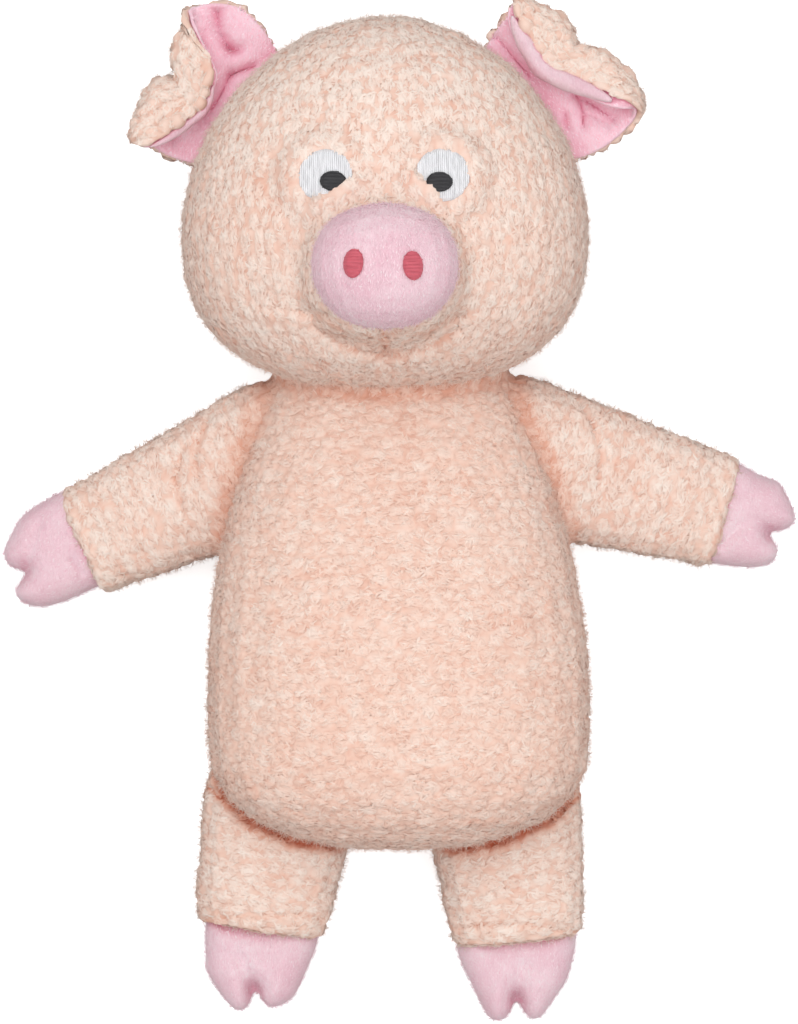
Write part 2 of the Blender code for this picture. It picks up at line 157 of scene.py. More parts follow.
def read(items, field):
    """A field of three numbers, for all items of a mesh."""
    values = np.empty(len(items) * 3, np.float32)
    items.foreach_get(field, values)
    return values.reshape(-1, 3).astype(float)


def points_of(mesh):
    return read(mesh.vertices, "co")


def normals_of(mesh):
    return read(mesh.vertex_normals, "vector")


def set_points(mesh, places, off_floor=0.0):
    """Move a mesh's points, and keep them this far above the floor."""
    if off_floor:
        places[:, 2] = np.maximum(places[:, 2], off_floor)
    mesh.vertices.foreach_set("co", places.astype(np.float32).ravel())
    mesh.update()


def note(mesh, name, values):
    """Write a value on every point of a mesh, for its material."""
    field = mesh.attributes.new(name, "FLOAT", "POINT")
    field.data.foreach_set("value", np.asarray(values, np.float32).ravel())


def ease(share):
    """0 to 1 with a soft start and a soft stop."""
    share = min(1, max(0, share))
    return share * share * (3 - 2 * share)


def share_between(values, start, end):
    """0 at the start and 1 at the end, straight in between."""
    return np.clip((values - start) / (end - start), 0, 1)


def unit(vectors):
    return vectors / np.maximum(np.linalg.norm(vectors, axis=-1, keepdims=True), 1e-12)


def surface_tree(bm):
    tree = BVHTree.FromBMesh(bm)
    bm.free()
    return tree


def mesh_tree(mesh):
    bm = bmesh.new()
    bm.from_mesh(mesh)
    return surface_tree(bm)


def box_middle(node):
    low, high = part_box(node)
    return (low + high) / 2


def beside_plan_line(places, line):
    """How far places in plan lie from a line of points."""
    nearest = np.full(places.shape[:-1], np.inf)
    for start, end in zip(line, line[1:]):
        start, run = np.array(start), np.array(end) - np.array(start)
        share = np.clip((places - start) @ run / max(run @ run, 1e-12), 0, 1)
        nearest = np.minimum(nearest, np.linalg.norm(places - start - share[..., None] * run, axis=-1))
    return nearest


def press_lines(mesh, lines):
    """Press creases into the front of a mesh: each is a line in plan, a depth and a half width."""
    places, outs = points_of(mesh), normals_of(mesh)
    front = np.clip((outs[:, 2] - 0.2) * 5, 0, 1)
    for line, depth, width in lines:
        nearest = beside_plan_line(places[:, :2], line)
        places -= outs * (front * depth * np.exp(-(nearest / width) ** 2))[:, None]
    set_points(mesh, places)


def beside(node, points):
    """Points in plan, given in mm from the middle of a node."""
    middle = box_middle(node)
    return [(middle.x + x * MM, middle.y + y * MM) for x, y in points]


# %% The sacks and their directions
SEED = 11
UP = Vector((0, 0, 1))
HOOF_LIMBS = {"hand_left_hoof": "arm_left", "hand_right_hoof": "arm_right",
              "foot_left_hoof": "leg_left", "foot_right_hoof": "leg_right"}
PLUSH_NODES = ["head", "trunk", "arm_left", "arm_right", "leg_left", "leg_right"]
solid_trees = {node: surface_tree(welded_copy(node)) for node in PLUSH_NODES}
rng = np.random.default_rng(SEED)
noise.seed_set(SEED)            # without it, vector noise starts from the clock


def knit_axis(node):
    """The direction across the knitted rows of a sack: along a limb, and up the head and trunk."""
    for hoof, limb in HOOF_LIMBS.items():
        if limb == node:
            run = box_middle(hoof) - box_middle(limb)
            return Vector((run.x, run.y, 0)).normalized()
    return Vector((0, 1, 0))


# %% The boucle cover's skin
COAT_DEPTH = 3.0 * MM
COVER_OFF_FLOOR = 1.2 * MM
cover = even_skin("boucle_cover", PLUSH_NODES, 1.5 * MM, 7, grow=0.4 * MM)
CUFF_REACH = 11 * MM            # how far from a hoof the sleeve starts to widen, and how far it laps over it
CUFF_LAPS = {"arm_left": 5.0 * MM, "arm_right": 5.0 * MM, "leg_left": 0.5 * MM, "leg_right": 0.5 * MM}
CUFF_RISE = 2.4 * MM
skin_points = points_of(cover.data)
skin_normals = normals_of(cover.data)
near_hoof = np.zeros(len(skin_points))
limb_axis = np.zeros_like(skin_points)
lap = np.zeros(len(skin_points))
for hoof, limb in HOOF_LIMBS.items():
    hoof_tree, axis = surface_tree(welded_copy(hoof)), np.array(knit_axis(limb))
    for index in np.nonzero((skin_points - np.array(box_middle(limb))) @ axis > 0)[0]:
        hit, _, _, away = hoof_tree.find_nearest(Vector(skin_points[index]), CUFF_REACH)
        if hit is not None:
            near_hoof[index] = ease(1 - away / CUFF_REACH)
            limb_axis[index] = axis
            lap[index] = CUFF_LAPS[limb] * near_hoof[index]
sideways = skin_normals - limb_axis * np.sum(skin_normals * limb_axis, axis=1, keepdims=True)
skin_points += limb_axis * lap[:, None] + sideways * (near_hoof * CUFF_RISE)[:, None]
skin_points -= skin_normals * COAT_DEPTH
set_points(cover.data, skin_points, COVER_OFF_FLOOR)

# %% [markdown]
# The mouth, the chin folds and the gathers at arms and feet are drawn in with thread, so the cover is pressed
# in along them. Round the eyes it is raised again, so that the stitched patches sit in it.

# %% Creases of the cover
CREASE_LINES = [                # a line beside the node's middle, its depth, half width and depth of painted shade
    ("head", [(0, -62), (0, -72)], 3.0, 2.4, 0.5),
    ("head", [(0, -71), (-9, -70), (-20, -66), (-31, -59)], 1.6, 2.0, 0.35),
    ("head", [(0, -71), (10, -70), (22, -66), (33, -60)], 1.6, 2.0, 0.35),
    ("head", [(-38, -52), (-27, -54), (-17, -62)], 1.2, 1.8, 0.3),
    ("head", [(38, -53), (27, -56), (18, -63)], 1.2, 1.8, 0.3),
    ("trunk", [(-88, 79), (-94, 66), (-93, 52)], 1.6, 1.8, 0.4),
    ("trunk", [(-99, 68), (-103, 52), (-99, 38)], 1.4, 2.0, 0.4),
    ("trunk", [(88, 80), (93, 66), (92, 50)], 1.6, 1.8, 0.4),
    ("trunk", [(-88, -91), (-73, -104), (-50, -114.5), (-25, -119)], 3.0, 1.5, 1.0),
    ("trunk", [(87, -92), (72, -105), (49, -115), (25, -119)], 3.0, 1.5, 1.0),
    ("leg_right", [(-34, -32), (-12, -28), (10, -28), (28, -31)], 0.8, 1.6, 0.4),
    ("leg_left", [(-30, -33), (-10, -30), (12, -30), (32, -34)], 0.8, 1.6, 0.4),
]
CREASES = [(beside(node, line), depth * MM, width * MM, deep)
           for node, line, depth, width, deep in CREASE_LINES]
EYE_REACH = 13 * MM             # the cover swells up round an eye patch
EYE_SUNK = 0.7 * MM             # and ends this far below the patch's face
EYE_BANKS = {                   # beyond this edge, towards the snout, it lies over the patch
    "eye_right": [(14, 0), (12.5, -1.0), (6.9, -3.2), (2.3, -5.2), (1.2, -6.9), (-6.3, -10.3), (-9, -14)],
    "eye_left": [(-14, 3), (-12.5, 2), (-8.3, -2), (-5, -4), (-3, -6.2), (-1, -8.5), (1, -14)],
}
BANK_HEIGHT = 1.2 * MM
BANK_SLOPE = 1.3 * MM
PATCH_DEPTH = 1.6 * MM
EYE_SEARCH = 12 * MM
INSIDE_PATCH = 0.93             # rays that look for the patch's face stay clear of its rim
press_lines(cover.data, [crease[:3] for crease in CREASES])
skin_points = points_of(cover.data)
for eye, edge in EYE_BANKS.items():
    eye_tree = surface_tree(welded_copy(eye))
    low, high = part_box(eye)
    middle, radius = (low + high) / 2, (high - low) / 2
    edge = np.array(sorted(beside(eye, edge)))
    for index in np.nonzero(skin_points[:, 2] > low.z - EYE_SEARCH)[0]:
        place = Vector(skin_points[index])
        apart = Vector(((place.x - middle.x) / radius.x, (place.y - middle.y) / radius.y))
        swell = ease(1 - (apart.length - 1) * radius.x / EYE_REACH)
        if swell == 0:
            continue
        inner = apart * min(1, INSIDE_PATCH / max(apart.length, 1e-6))
        over = Vector((middle.x + inner.x * radius.x, middle.y + inner.y * radius.y, high.z + 5 * MM))
        face = eye_tree.ray_cast(over, -UP)[0].z
        bank = ease((np.interp(place.x, edge[:, 0], edge[:, 1]) - place.y) / BANK_SLOPE)
        if apart.length < 1 and bank == 0:
            skin_points[index][2] = face - PATCH_DEPTH
        else:
            rim = face - EYE_SUNK + (EYE_SUNK + BANK_HEIGHT) * bank
            skin_points[index][2] = max(place.z, place.z + (rim - place.z) * swell)
set_points(cover.data, skin_points)
print("cover:", len(cover.data.vertices), "points", len(cover.data.polygons), "faces")

# %% [markdown]
# ## Ears
#
# An ear is a leaf of boucle lined with velour. It is sewn into the head, folded to the front, and pinched.
# Both layers start as a flat grid. The grid is bent by one rule, with creases pressed in where the velour
# gathers, and each layer then gets its thickness on its own side.

# %% The folded leaf
toy_shift = Vector((box_middle("head").x + 7.3 * MM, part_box("trunk")[0].y + 156.6 * MM, 0))
EARS = {
    "right": {"root": Vector((-78.1, 184.7, 60)) * MM, "up_head": Vector((0.666, 0.746, 0)), "hand": 1,
              "fold": (23.0 * MM, 32.5 * MM), "pinch_at": -3.5 * MM, "pinch_depth": 9 * MM, "slide": -5 * MM,
              "shell_end": 0.95, "open_from": 0.44, "hem": (0.985, 2.0 * MM, -0.93, 0.26),
              "folds": [([(29, 34), (23, 27), (19.5, 17)], 5.0, 2.6),
                        ([(20, 19), (23, 15)], 3.5, 2.8),
                        ([(11, 11), (21, 5)], 3.5, 2.2),
                        ([(-10, 7), (3, 8), (11, 10)], 3.0, 3.0),
                        ([(-31, 23), (-27, 15), (-28, 11)], 3.0, 2.2)]},
    "left": {"root": Vector((59.4, 186.3, 60)) * MM, "up_head": Vector((-0.650, 0.760, 0)), "hand": -1,
             "fold": (36.0 * MM, 26.0 * MM), "pinch_at": 3.5 * MM, "pinch_depth": 6 * MM, "slide": 4 * MM,
             "shell_end": 0.90, "open_from": 2.0, "hem": (0.95, 4.2 * MM, -0.86, 0.9),
             "folds": [([(34, 8.5), (28, 8.5), (22, 8), (10, 8)], 2.4, 2.2),
                       ([(-10, 18), (-17.5, 16), (-23, 12)], 3.2, 1.8),
                       ([(-13, 9.5), (-18, 6)], 2.4, 2.0),
                       ([(-9, 19), (-20, 22), (-31, 25)], 3.5, 2.0),
                       ([(-20, 17), (-31, 21)], 2.4, 1.6)]},
}
EAR_ROOT_DEPTH = -7 * MM
EAR_HALF_WIDTH = 37.5 * MM
EAR_WIDEST_AT = 19 * MM
EAR_TAPER_OVER = 45 * MM
EAR_FLAP_REACH = 26 * MM
EAR_SIDE_BEND = 0.7
EAR_SIDE_TAPER = 0.22
EAR_ROOT_TAPER = 0.75
EAR_FOLD_RADIUS = 6.5 * MM
EAR_FOLD_ROUNDING = 8 * MM
EAR_PINCH_WIDTH = 6 * MM
EAR_CUP = 5 * MM
FOLD_PRESS = 1.4
EAR_LOBE_LENGTH = 45 * MM       # where the leaf isn't folded over it ends in a lobe that only turns up
EAR_GRID = (46, 64)
LINING_THICKNESS = 1.9 * MM
SHELL_THICKNESS = 2.0 * MM
LAYERS_APART = 0.1 * MM         # each layer off the leaf
HEM_POINTS = 40


def leaf_point(ear, sideways, share):
    """A point of the folded ear in the frame: sideways is -1 to 1, and share runs from root to tip."""
    bend_length = pi * EAR_FOLD_RADIUS
    fold_low, fold_high = ear["fold"]
    fold_at = fold_low + (fold_high - fold_low) * ease((sideways + 1) / 2) - EAR_FOLD_ROUNDING * sideways ** 4
    length = fold_at + EAR_SIDE_BEND * bend_length + EAR_FLAP_REACH * sqrt(max(0, 1 - sideways ** 2))
    opened = ease((sideways - ear["open_from"]) / 0.25)
    lobe = EAR_LOBE_LENGTH * (0.45 + 0.55 * sqrt(max(0, 1 - ((sideways - 0.45) / 0.57) ** 2)))
    length += (lobe - length) * opened
    fold_at += (lobe - 0.5 * EAR_FOLD_RADIUS - fold_at) * opened
    outward = EAR_ROOT_DEPTH + (length - EAR_ROOT_DEPTH) * share
    swing = (outward - EAR_WIDEST_AT) / EAR_TAPER_OVER
    taper = EAR_SIDE_TAPER if swing > 0 else EAR_ROOT_TAPER
    across = sideways * EAR_HALF_WIDTH * (1 - taper * swing * swing)
    height = EAR_CUP * sideways ** 2 * ease(outward / EAR_WIDEST_AT)
    past_fold = outward - fold_at
    from_crease = (past_fold - bend_length / 2) / bend_length
    from_pinch = (across - ear["pinch_at"]) / EAR_PINCH_WIDTH
    pinch = ear["pinch_depth"] * np.exp(-from_pinch ** 2 - from_crease ** 2)
    if past_fold > 0:
        bend = min(pi, past_fold / EAR_FOLD_RADIUS)
        outward = fold_at + EAR_FOLD_RADIUS * sin(bend) - max(0, past_fold - bend_length)
        height += EAR_FOLD_RADIUS * (1 - cos(bend))
        across += ear["slide"] * ease(past_fold / bend_length) * (1 - opened)
    in_plan = np.array([(across / MM, outward / MM)])
    pressed = sum(FOLD_PRESS * depth * MM * np.exp(-(beside_plan_line(in_plan, line)[0] / width) ** 2)
                  for line, depth, width in ear["folds"])
    pressed *= 1 - ease(past_fold / (0.5 * bend_length))
    up_head = ear["up_head"].normalized()
    away = Vector((-up_head.y, up_head.x, 0)) * ear["hand"]
    place = ear["root"] + toy_shift + up_head * across + away * (outward - pinch)
    return place + UP * (height - pressed)


def ear_layer(name, ear, ends_at, facing, thickness):
    """One layer of the ear as a closed sheet, on the side that faces back (-1) or front (1)."""
    bm = bmesh.new()
    bmesh.ops.create_grid(bm, x_segments=EAR_GRID[0], y_segments=EAR_GRID[1], size=1)
    for vert in bm.verts:
        vert.co = leaf_point(ear, vert.co.x, (vert.co.y + 1) / 2 * ends_at)
    if ear["hand"] != facing:
        bmesh.ops.reverse_faces(bm, faces=bm.faces[:])
    bm.normal_update()
    for vert in bm.verts:
        vert.co += vert.normal * LAYERS_APART
    sheet = add_object(name, mesh_of(bm, name))
    solidify = sheet.modifiers.new("thickness", "SOLIDIFY")
    solidify.thickness = thickness
    solidify.offset = 1
    return smooth_and_keep(sheet, 3)


def ropes(name, lines, radius, rounding):
    """Ropes with closed ends as a bmesh: a line is a list of places, each with its share of the radius."""
    curve = bpy.data.curves.new(name, "CURVE")
    curve.dimensions = "3D"
    curve.bevel_depth = radius
    curve.bevel_resolution = rounding
    curve.use_fill_caps = True
    for line in lines:
        spline = curve.splines.new("POLY")
        spline.points.add(len(line) - 1)
        for point, (place, share) in zip(spline.points, line):
            point.co = (*place, 1)
            point.radius = share
    thread = add_object(name, curve)
    loose = finished_mesh(thread)
    bpy.data.objects.remove(thread)
    bm = bmesh.new()
    bm.from_mesh(loose)
    bpy.data.meshes.remove(loose)
    bmesh.ops.remove_doubles(bm, verts=bm.verts[:], dist=WELD)
    return bm


def hem_roll(name, ear):
    """The velour that is turned over the flap's edge: a soft roll that tapers at both ends."""
    share, radius, low, high = ear["hem"]
    line = []
    for number in range(HEM_POINTS):
        along = number / (HEM_POINTS - 1)
        place = leaf_point(ear, low + (high - low) * along, share) + UP * radius * 0.35
        line.append((place, 0.3 + 0.7 * min(1, 5 * along, 5 * (1 - along)) + 0.06 * sin(23 * along)))
    bm = ropes(name, [line], radius, 4)
    bmesh.ops.smooth_vert(bm, verts=bm.verts[:], factor=0.5,
                          use_axis_x=True, use_axis_y=True, use_axis_z=True)
    bmesh.ops.recalc_face_normals(bm, faces=bm.faces[:])
    roll = add_object(name, mesh_of(bm, name))
    roll.data.shade_smooth()
    return roll


ear_shells, ear_linings, ear_hems = {}, {}, {}
for side, ear in EARS.items():
    lining = ear_layer(f"velour_ear_{side}", ear, 1.0, 1, LINING_THICKNESS)
    shell = ear_layer(f"boucle_ear_{side}", ear, ear["shell_end"], -1, SHELL_THICKNESS)
    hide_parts(f"ear_{side}_lining")
    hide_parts(f"ear_{side}_shell")
    ear_linings[side], ear_shells[side] = lining, shell
    ear_hems[side] = hem_roll(f"velour_hem_{side}", ear)
print("ears:", {side: len(shell.data.polygons) for side, shell in ear_shells.items()})

# %% [markdown]
# ## Knitted nubs
#
# Boucle is knitted from a looped yarn, so the cover is a cobble of small soft nubs in rows. On the trunk and
# limbs the rows run round the sack and the nubs are wider than tall; on the head they stack into columns. The
# nubs are laid out by walking round each solid, row by row, and the gaps between them are filled at random.
# The ears' boucle gets its nubs from the rule that folds them.

# %% Layout of the nubs
KNIT = {                        # the pitch of the rows and of the nubs, and how far odd rows are shifted
    "head": (6.1 * MM, 6.5 * MM, 0.0),
    "trunk": (5.3 * MM, 7.3 * MM, 0.5),
    "arm": (6.0 * MM, 6.8 * MM, 0.5),
    "leg": (5.8 * MM, 7.0 * MM, 0.5),
}
WALK_STEP = 3                   # degrees
CELL = 7 * MM                   # wider than any distance that two nubs keep


def walk_rows(node):
    """Places for nubs on one solid, by distance round it from the middle of its front."""
    row_pitch, nub_pitch, stagger = KNIT[node.split("_")[0]]
    axis, middle = knit_axis(node), box_middle(node)
    side = axis.cross(UP)
    low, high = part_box(node)
    reach = (high - low).length / 2
    places = []
    for row in range(int(-reach / row_pitch), int(reach / row_pitch) + 1):
        start = middle + axis * row * row_pitch
        shift = nub_pitch * stagger * (row % 2)
        for way, wanted in ((1, shift), (-1, nub_pitch - shift)):
            travelled, last_hit = 0.0, None
            for angle in range(0, 181, WALK_STEP):
                turn = radians(angle) * way
                hit = solid_trees[node].ray_cast(start, side * sin(turn) + UP * cos(turn))[0]
                if hit is None:
                    last_hit = None
                    continue
                if last_hit is not None:
                    stretch = (hit - last_hit).length
                    while travelled + stretch >= wanted:
                        share = min(1, max(0, (wanted - travelled) / max(stretch, 1e-9)))
                        places.append(last_hit.lerp(hit, share))
                        wanted += nub_pitch
                    travelled += stretch
                last_hit = hit
    return places


class SpacedPlaces:
    """Places that keep their distance, kept in a grid of cells."""

    def __init__(self):
        self.grid, self.places = {}, []

    def is_free(self, place, distance):
        around = [range(int(c // CELL) - 1, int(c // CELL) + 2) for c in place]
        near = (other for key in product(*around) for other in self.grid.get(key, ()))
        return all((other - place).length >= distance for other in near)

    def add(self, place):
        self.grid.setdefault(tuple(int(c // CELL) for c in place), []).append(place)
        self.places.append(place)


# %% Nub places on the cover
KNIT_DRIFT_SIZE = 25 * MM       # how long the waves in the rows are, and how far they move a nub
KNIT_DRIFT = 2.2 * MM
KNIT_JITTER = 1.15 * MM
LOST_NUBS = 0.10
NEAREST_NUBS = 3.4 * MM         # how close two nubs may lie in the rows, and how wide a gap is filled
GAP_TO_FILL = 4.7 * MM
OFF_THE_COVER = COAT_DEPTH + 2.0 * MM
SEWN_OVER = ["snout", *HOOF_LIMBS, "eye_left", "eye_right"]
HIDDEN_UNDER = 6 * MM

cover_tree = mesh_tree(cover.data)
sewn_trees = [surface_tree(welded_copy(node)) for node in SEWN_OVER]
spaced = SpacedPlaces()
for node in PLUSH_NODES:
    for place in walk_rows(node):
        drift = noise.noise_vector(place / KNIT_DRIFT_SIZE) * KNIT_DRIFT
        place = place + drift + Vector(rng.normal(0, KNIT_JITTER, 3))
        place, normal, _, away = cover_tree.find_nearest(place)
        if away < OFF_THE_COVER and spaced.is_free(place, NEAREST_NUBS) and rng.random() > LOST_NUBS:
            spaced.add(place)
in_rows = len(spaced.places)
for index in rng.permutation(len(skin_points)):
    place = Vector(skin_points[index])
    if spaced.is_free(place, GAP_TO_FILL):
        spaced.add(place)
print("nubs:", in_rows, "in rows and", len(spaced.places) - in_rows, "between them")

# %% [markdown]
# Every nub has its own frame: a normal out of the cover, a long way along the knitted row, and a short way
# across it. It also knows how deep it sits in a crease between two sacks, which sets the shade painted on its
# curls. Nubs that a snout, hoof or eye is sewn over are left out.

# %% Frames of the nubs
CREASE_REACH = 6.5 * MM
SEAM_SHADE = 0.45               # how deep the painted shade gets where two sacks meet
LEG_SEAM_SHADE = 1.1            # and where the belly hangs over the legs
SEAM_FADES_BELOW = 28 * MM
CREASES_END_BELOW = 20 * MM
BARELY_CREASED = 0.02
EAR_ROWS = 30                   # rows of nubs from an ear's root to its tip, and nubs in half a row
EAR_HALF_ROW = 13
EAR_RIM = 0.99
NEAREST_EAR_NUBS = 4.6 * MM


def crease_at(places):
    """For each place the depth of the shade painted into it: about 1 in the seam between two sacks or in a
    pressed crease, and 0 well away from them.
    """
    lines = np.zeros(len(places))
    for points, _, width, deep in CREASES:
        beside_line = beside_plan_line(places[:, :2], points) / (0.8 * width)
        lines = np.maximum(lines, deep * np.exp(-beside_line ** 2))
    painted_crease_shade = np.where(places[:, 2] > CREASES_END_BELOW, lines, 0)
    seam_reach = CREASE_REACH + COAT_DEPTH
    for index, place in enumerate(places):
        hits = [(solid_trees[node].find_nearest(place, seam_reach)[3], node) for node in PLUSH_NODES]
        hits = sorted(hit for hit in hits if hit[0] is not None)
        if len(hits) > 1:
            seam = max(0, 1 - max(0, hits[1][0] - 0.8 * COAT_DEPTH) / CREASE_REACH)
            under_belly = "leg" in hits[0][1] + hits[1][1] and place[2] > SEAM_FADES_BELOW
            deep = LEG_SEAM_SHADE if under_belly else SEAM_SHADE
            painted_crease_shade[index] = max(painted_crease_shade[index], deep * seam ** 1.8)
    return painted_crease_shade


class Nubs:
    """The nubs of one piece of boucle, as arrays with a row for each nub."""

    def __init__(self, places, out, along, sack=0, crease=0.0):
        self.places, self.out = np.array(places), unit(np.array(out))
        along = np.array(along)
        self.along = unit(along - self.out * np.sum(along * self.out, axis=1, keepdims=True) + 1e-6)
        self.across = np.cross(self.out, self.along)
        self.sack = sack + np.zeros(len(places), int)
        self.crease = crease + np.zeros(len(places))
        self.tone = rng.normal(0, 1, len(self.places))
        self.size = rng.uniform(0.75, 1.25, len(self.places))
        self.tree = KDTree(len(self.places))
        for index, place in enumerate(places):
            self.tree.insert(place, index)
        self.tree.balance()


def cover_nubs():
    places, out, along, sack = [], [], [], []
    for place in spaced.places:
        normal = cover_tree.find_nearest(place)[1]
        if any(tree.ray_cast(place, normal, HIDDEN_UNDER)[0] is not None for tree in sewn_trees):
            continue
        reaches = [solid_trees[node].find_nearest(place)[3] for node in PLUSH_NODES]
        nearest = int(np.argmin(reaches))
        node = PLUSH_NODES[nearest]
        places.append(place)
        out.append(normal)
        along.append(knit_axis(node).cross(normal) if node != "head" else knit_axis(node))
        sack.append(nearest)
    return Nubs(places, out, along, sack, crease_at(np.array(places)))


def ear_nubs(side):
    """Nubs on the boucle side of an ear, row by row up the leaf, out to its rim."""
    ear, tree = EARS[side], mesh_tree(ear_shells[side].data)
    spaced = SpacedPlaces()
    places, out, along = [], [], []
    for row in range(EAR_ROWS + 2):
        for number in range(-EAR_HALF_ROW - 1, EAR_HALF_ROW + 2):
            sideways = (number + 0.5 * (row % 2)) / EAR_HALF_ROW + rng.normal(0, 0.02)
            share = row / EAR_ROWS * ear["shell_end"] + rng.normal(0, 0.006)
            if abs(sideways) > EAR_RIM or share > ear["shell_end"]:
                continue
            place = leaf_point(ear, sideways, share)
            step = leaf_point(ear, sideways, share + 0.01) - place
            across = leaf_point(ear, sideways + 0.01, share) - place
            normal = across.cross(step).normalized() * ear["hand"] * -1
            place = tree.find_nearest(place + normal * 3 * MM)[0]
            if spaced.is_free(place, NEAREST_EAR_NUBS):
                spaced.add(place)
                places.append(place)
                out.append(normal)
                along.append(across)
    return Nubs(places, out, along)


nubs = cover_nubs()
print("nubs on the cover:", len(nubs.places))

# %% [markdown]
# The cover is raised under each nub and left low between two of them, with slow lumps from the stuffing.

# %% Raising the nubs
NUB_LENGTH = 4.0 * MM           # half sizes of a nub
NUB_WIDTH = 3.1 * MM
NUB_RISE = 0.8 * MM
NUB_SHOULDER = 1.25             # how steep a nub's sides are: smaller is steeper
NUBS_OFF_FLOOR = 0.8 * MM
LUMP_SIZE = 12 * MM
LUMP_RISE = 0.9 * MM


def nub_shares(nubs, places):
    """For each place: its nearest nub, and how far inside it is, from 0 at the edge to 1 near the top."""
    near = np.array([[found[1] for found in nubs.tree.find_n(place, 4)] for place in places])
    apart = places[:, None, :] - nubs.places[near]
    along = np.sum(apart * nubs.along[near], axis=2) / NUB_LENGTH
    across = np.sum(apart * nubs.across[near], axis=2) / NUB_WIDTH
    outward = np.sum(apart * nubs.out[near], axis=2) / NUB_LENGTH
    far = np.sqrt(along ** 2 + across ** 2 + outward ** 2) / nubs.size[near]
    order = np.argsort(far, axis=1)
    far = np.take_along_axis(far, order, axis=1)
    inside = np.clip((far[:, 1] - far[:, 0]) / NUB_SHOULDER, 0, 1)
    return near[np.arange(len(places)), order[:, 0]], 1 - (1 - inside) ** 2


def raise_nubs(piece, nubs, rise, creases=0.0):
    """Raise a boucle piece under its nubs, and note its shade: painted shade that is low between the nubs and
    in creases.
    """
    places, outs = points_of(piece.data), normals_of(piece.data)
    owner, inside = nub_shares(nubs, places)
    facing = np.clip(np.sum(outs * nubs.out[owner], axis=1) * 2, 0, 1)
    lumps = np.array([noise.noise(Vector(place) / LUMP_SIZE) for place in places]) * LUMP_RISE
    nub_rise = rise * rng.uniform(0.6, 1.3, len(nubs.places))
    places += outs * (facing * (nub_rise[owner] * inside + lumps))[:, None]
    set_points(piece.data, places, NUBS_OFF_FLOOR)
    # The shade is painted: paler on the nub tops, deeper between the nubs and in creases.
    note(piece.data, "shade", 0.42 + 0.25 * inside + 0.1 * nubs.tone[owner] - creases)


owner = np.array([nubs.tree.find(place)[1] for place in skin_points])
# Painted shade in the creases, for the cover's points whose nub sits in one.
creases = np.zeros(len(skin_points))
in_crease = nubs.crease[owner] > BARELY_CREASED
creases[in_crease] = crease_at(skin_points[in_crease])
raise_nubs(cover, nubs, NUB_RISE, creases)
print("nubs raised on", len(skin_points), "points")

# %% [markdown]
# ## Curls
#
# A nub is a tuft of brushed loops. Each curl is a small closed lock that is pointed at both ends: it leaves
# the cover on its nub, arches over and lies down again. About a hundred thousand locks are laid out together
# and joined into a few meshes. A lock's shading follows the nub more than the lock's own roundness, as light
# spreads between fine fibres.

# %% One lock and many
CURLS_OFF_FLOOR = 0.3 * MM
LOCK_CORNERS = 8
LOCK_FACES = np.array([(0, 2, 1), (0, 3, 2), (0, 1, 3),
                       (1, 2, 5), (1, 5, 4), (2, 3, 6), (2, 6, 5), (3, 1, 4), (3, 4, 6),
                       (4, 5, 7), (5, 6, 7), (6, 4, 7)])
STATIONS = (0.0, 0.3, 0.68, 1.0)
LOCK_SHARE = np.array([0.0, 0.3, 0.3, 0.3, 0.68, 0.68, 0.68, 1.0])
LOCK_SIDE = np.array([0.5, 0.0, 0.5, 1.0, 0.0, 0.5, 1.0, 0.5])
OWN_ROUNDNESS = 0.45


def grow_locks(line, outs, thick):
    """Corners and shading normals of many locks, from four stations along each and the way out at each."""
    way = unit(line[:, 3] - line[:, 0])
    corners, normals = [line[:, 0]], [outs[:, 0]]
    for station, fat in ((1, 1.0), (2, 0.85)):
        out = outs[:, station]
        side = unit(np.cross(out, way))
        for turn in (90, 210, 330):
            spread, rise = cos(radians(turn)), sin(radians(turn))
            corners.append(line[:, station] + (side * spread + out * rise * 0.3) * (thick * fat)[:, None])
            normals.append(unit(out + side * spread * OWN_ROUNDNESS))
    corners = np.stack(corners + [line[:, 3]], axis=1)
    corners[:, :, 2] = np.maximum(corners[:, :, 2], CURLS_OFF_FLOOR)
    return corners, np.stack(normals + [outs[:, 3]], axis=1)


# %% A coat piece as one mesh
PATCH = 0.003                   # size of one lock's patch on the unwrapped cover


def soft_corner_normals(corners, normals):
    """Shading normals for each face corner: the lock's soft ones, kept on the front of each face."""
    first, second, third = np.moveaxis(corners[:, LOCK_FACES], 2, 0)
    faces = unit(np.cross(second - first, third - first))[:, :, None, :]
    soft = normals[:, LOCK_FACES]
    facing = np.sum(soft * faces, axis=3, keepdims=True)
    return unit(soft + faces * np.maximum(0, 0.4 - facing) * 1.2)


def spread_out(values):
    """Values stretched over the unwrap, clear of its border."""
    return 0.01 + 0.98 * (values - values.min()) / max(np.ptp(values), 1e-9)


def coat_piece(name, corners, normals, shades, across, up):
    """Join locks into one piece: a shade for each corner, and a patch of the unwrap at each lock's root."""
    count = len(corners)
    mesh = bpy.data.meshes.new(name)
    faces = (LOCK_FACES[None] + (np.arange(count) * LOCK_CORNERS)[:, None, None]).reshape(-1, 3)
    mesh.vertices.add(count * LOCK_CORNERS)
    mesh.vertices.foreach_set("co", corners.astype(np.float32).ravel())
    mesh.loops.add(faces.size)
    mesh.loops.foreach_set("vertex_index", faces.ravel())
    mesh.polygons.add(len(faces))
    mesh.polygons.foreach_set("loop_start", np.arange(0, faces.size, 3))
    mesh.update(calc_edges=True)
    note(mesh, "shade", shades)
    patch_u = (spread_out(across)[:, None] + LOCK_SIDE * PATCH).ravel()
    patch_v = (spread_out(up)[:, None] + LOCK_SHARE * PATCH).ravel()
    uv = mesh.uv_layers.new(name="OFBake")
    uv.data.foreach_set("uv", np.stack([patch_u, patch_v], axis=1)[faces.ravel()].astype(np.float32).ravel())
    mesh.shade_smooth()
    mesh.normals_split_custom_set(soft_corner_normals(corners, normals).reshape(-1, 3).tolist())
    coat = add_object(name, mesh)
    print(name, len(mesh.polygons), "faces")
    return coat


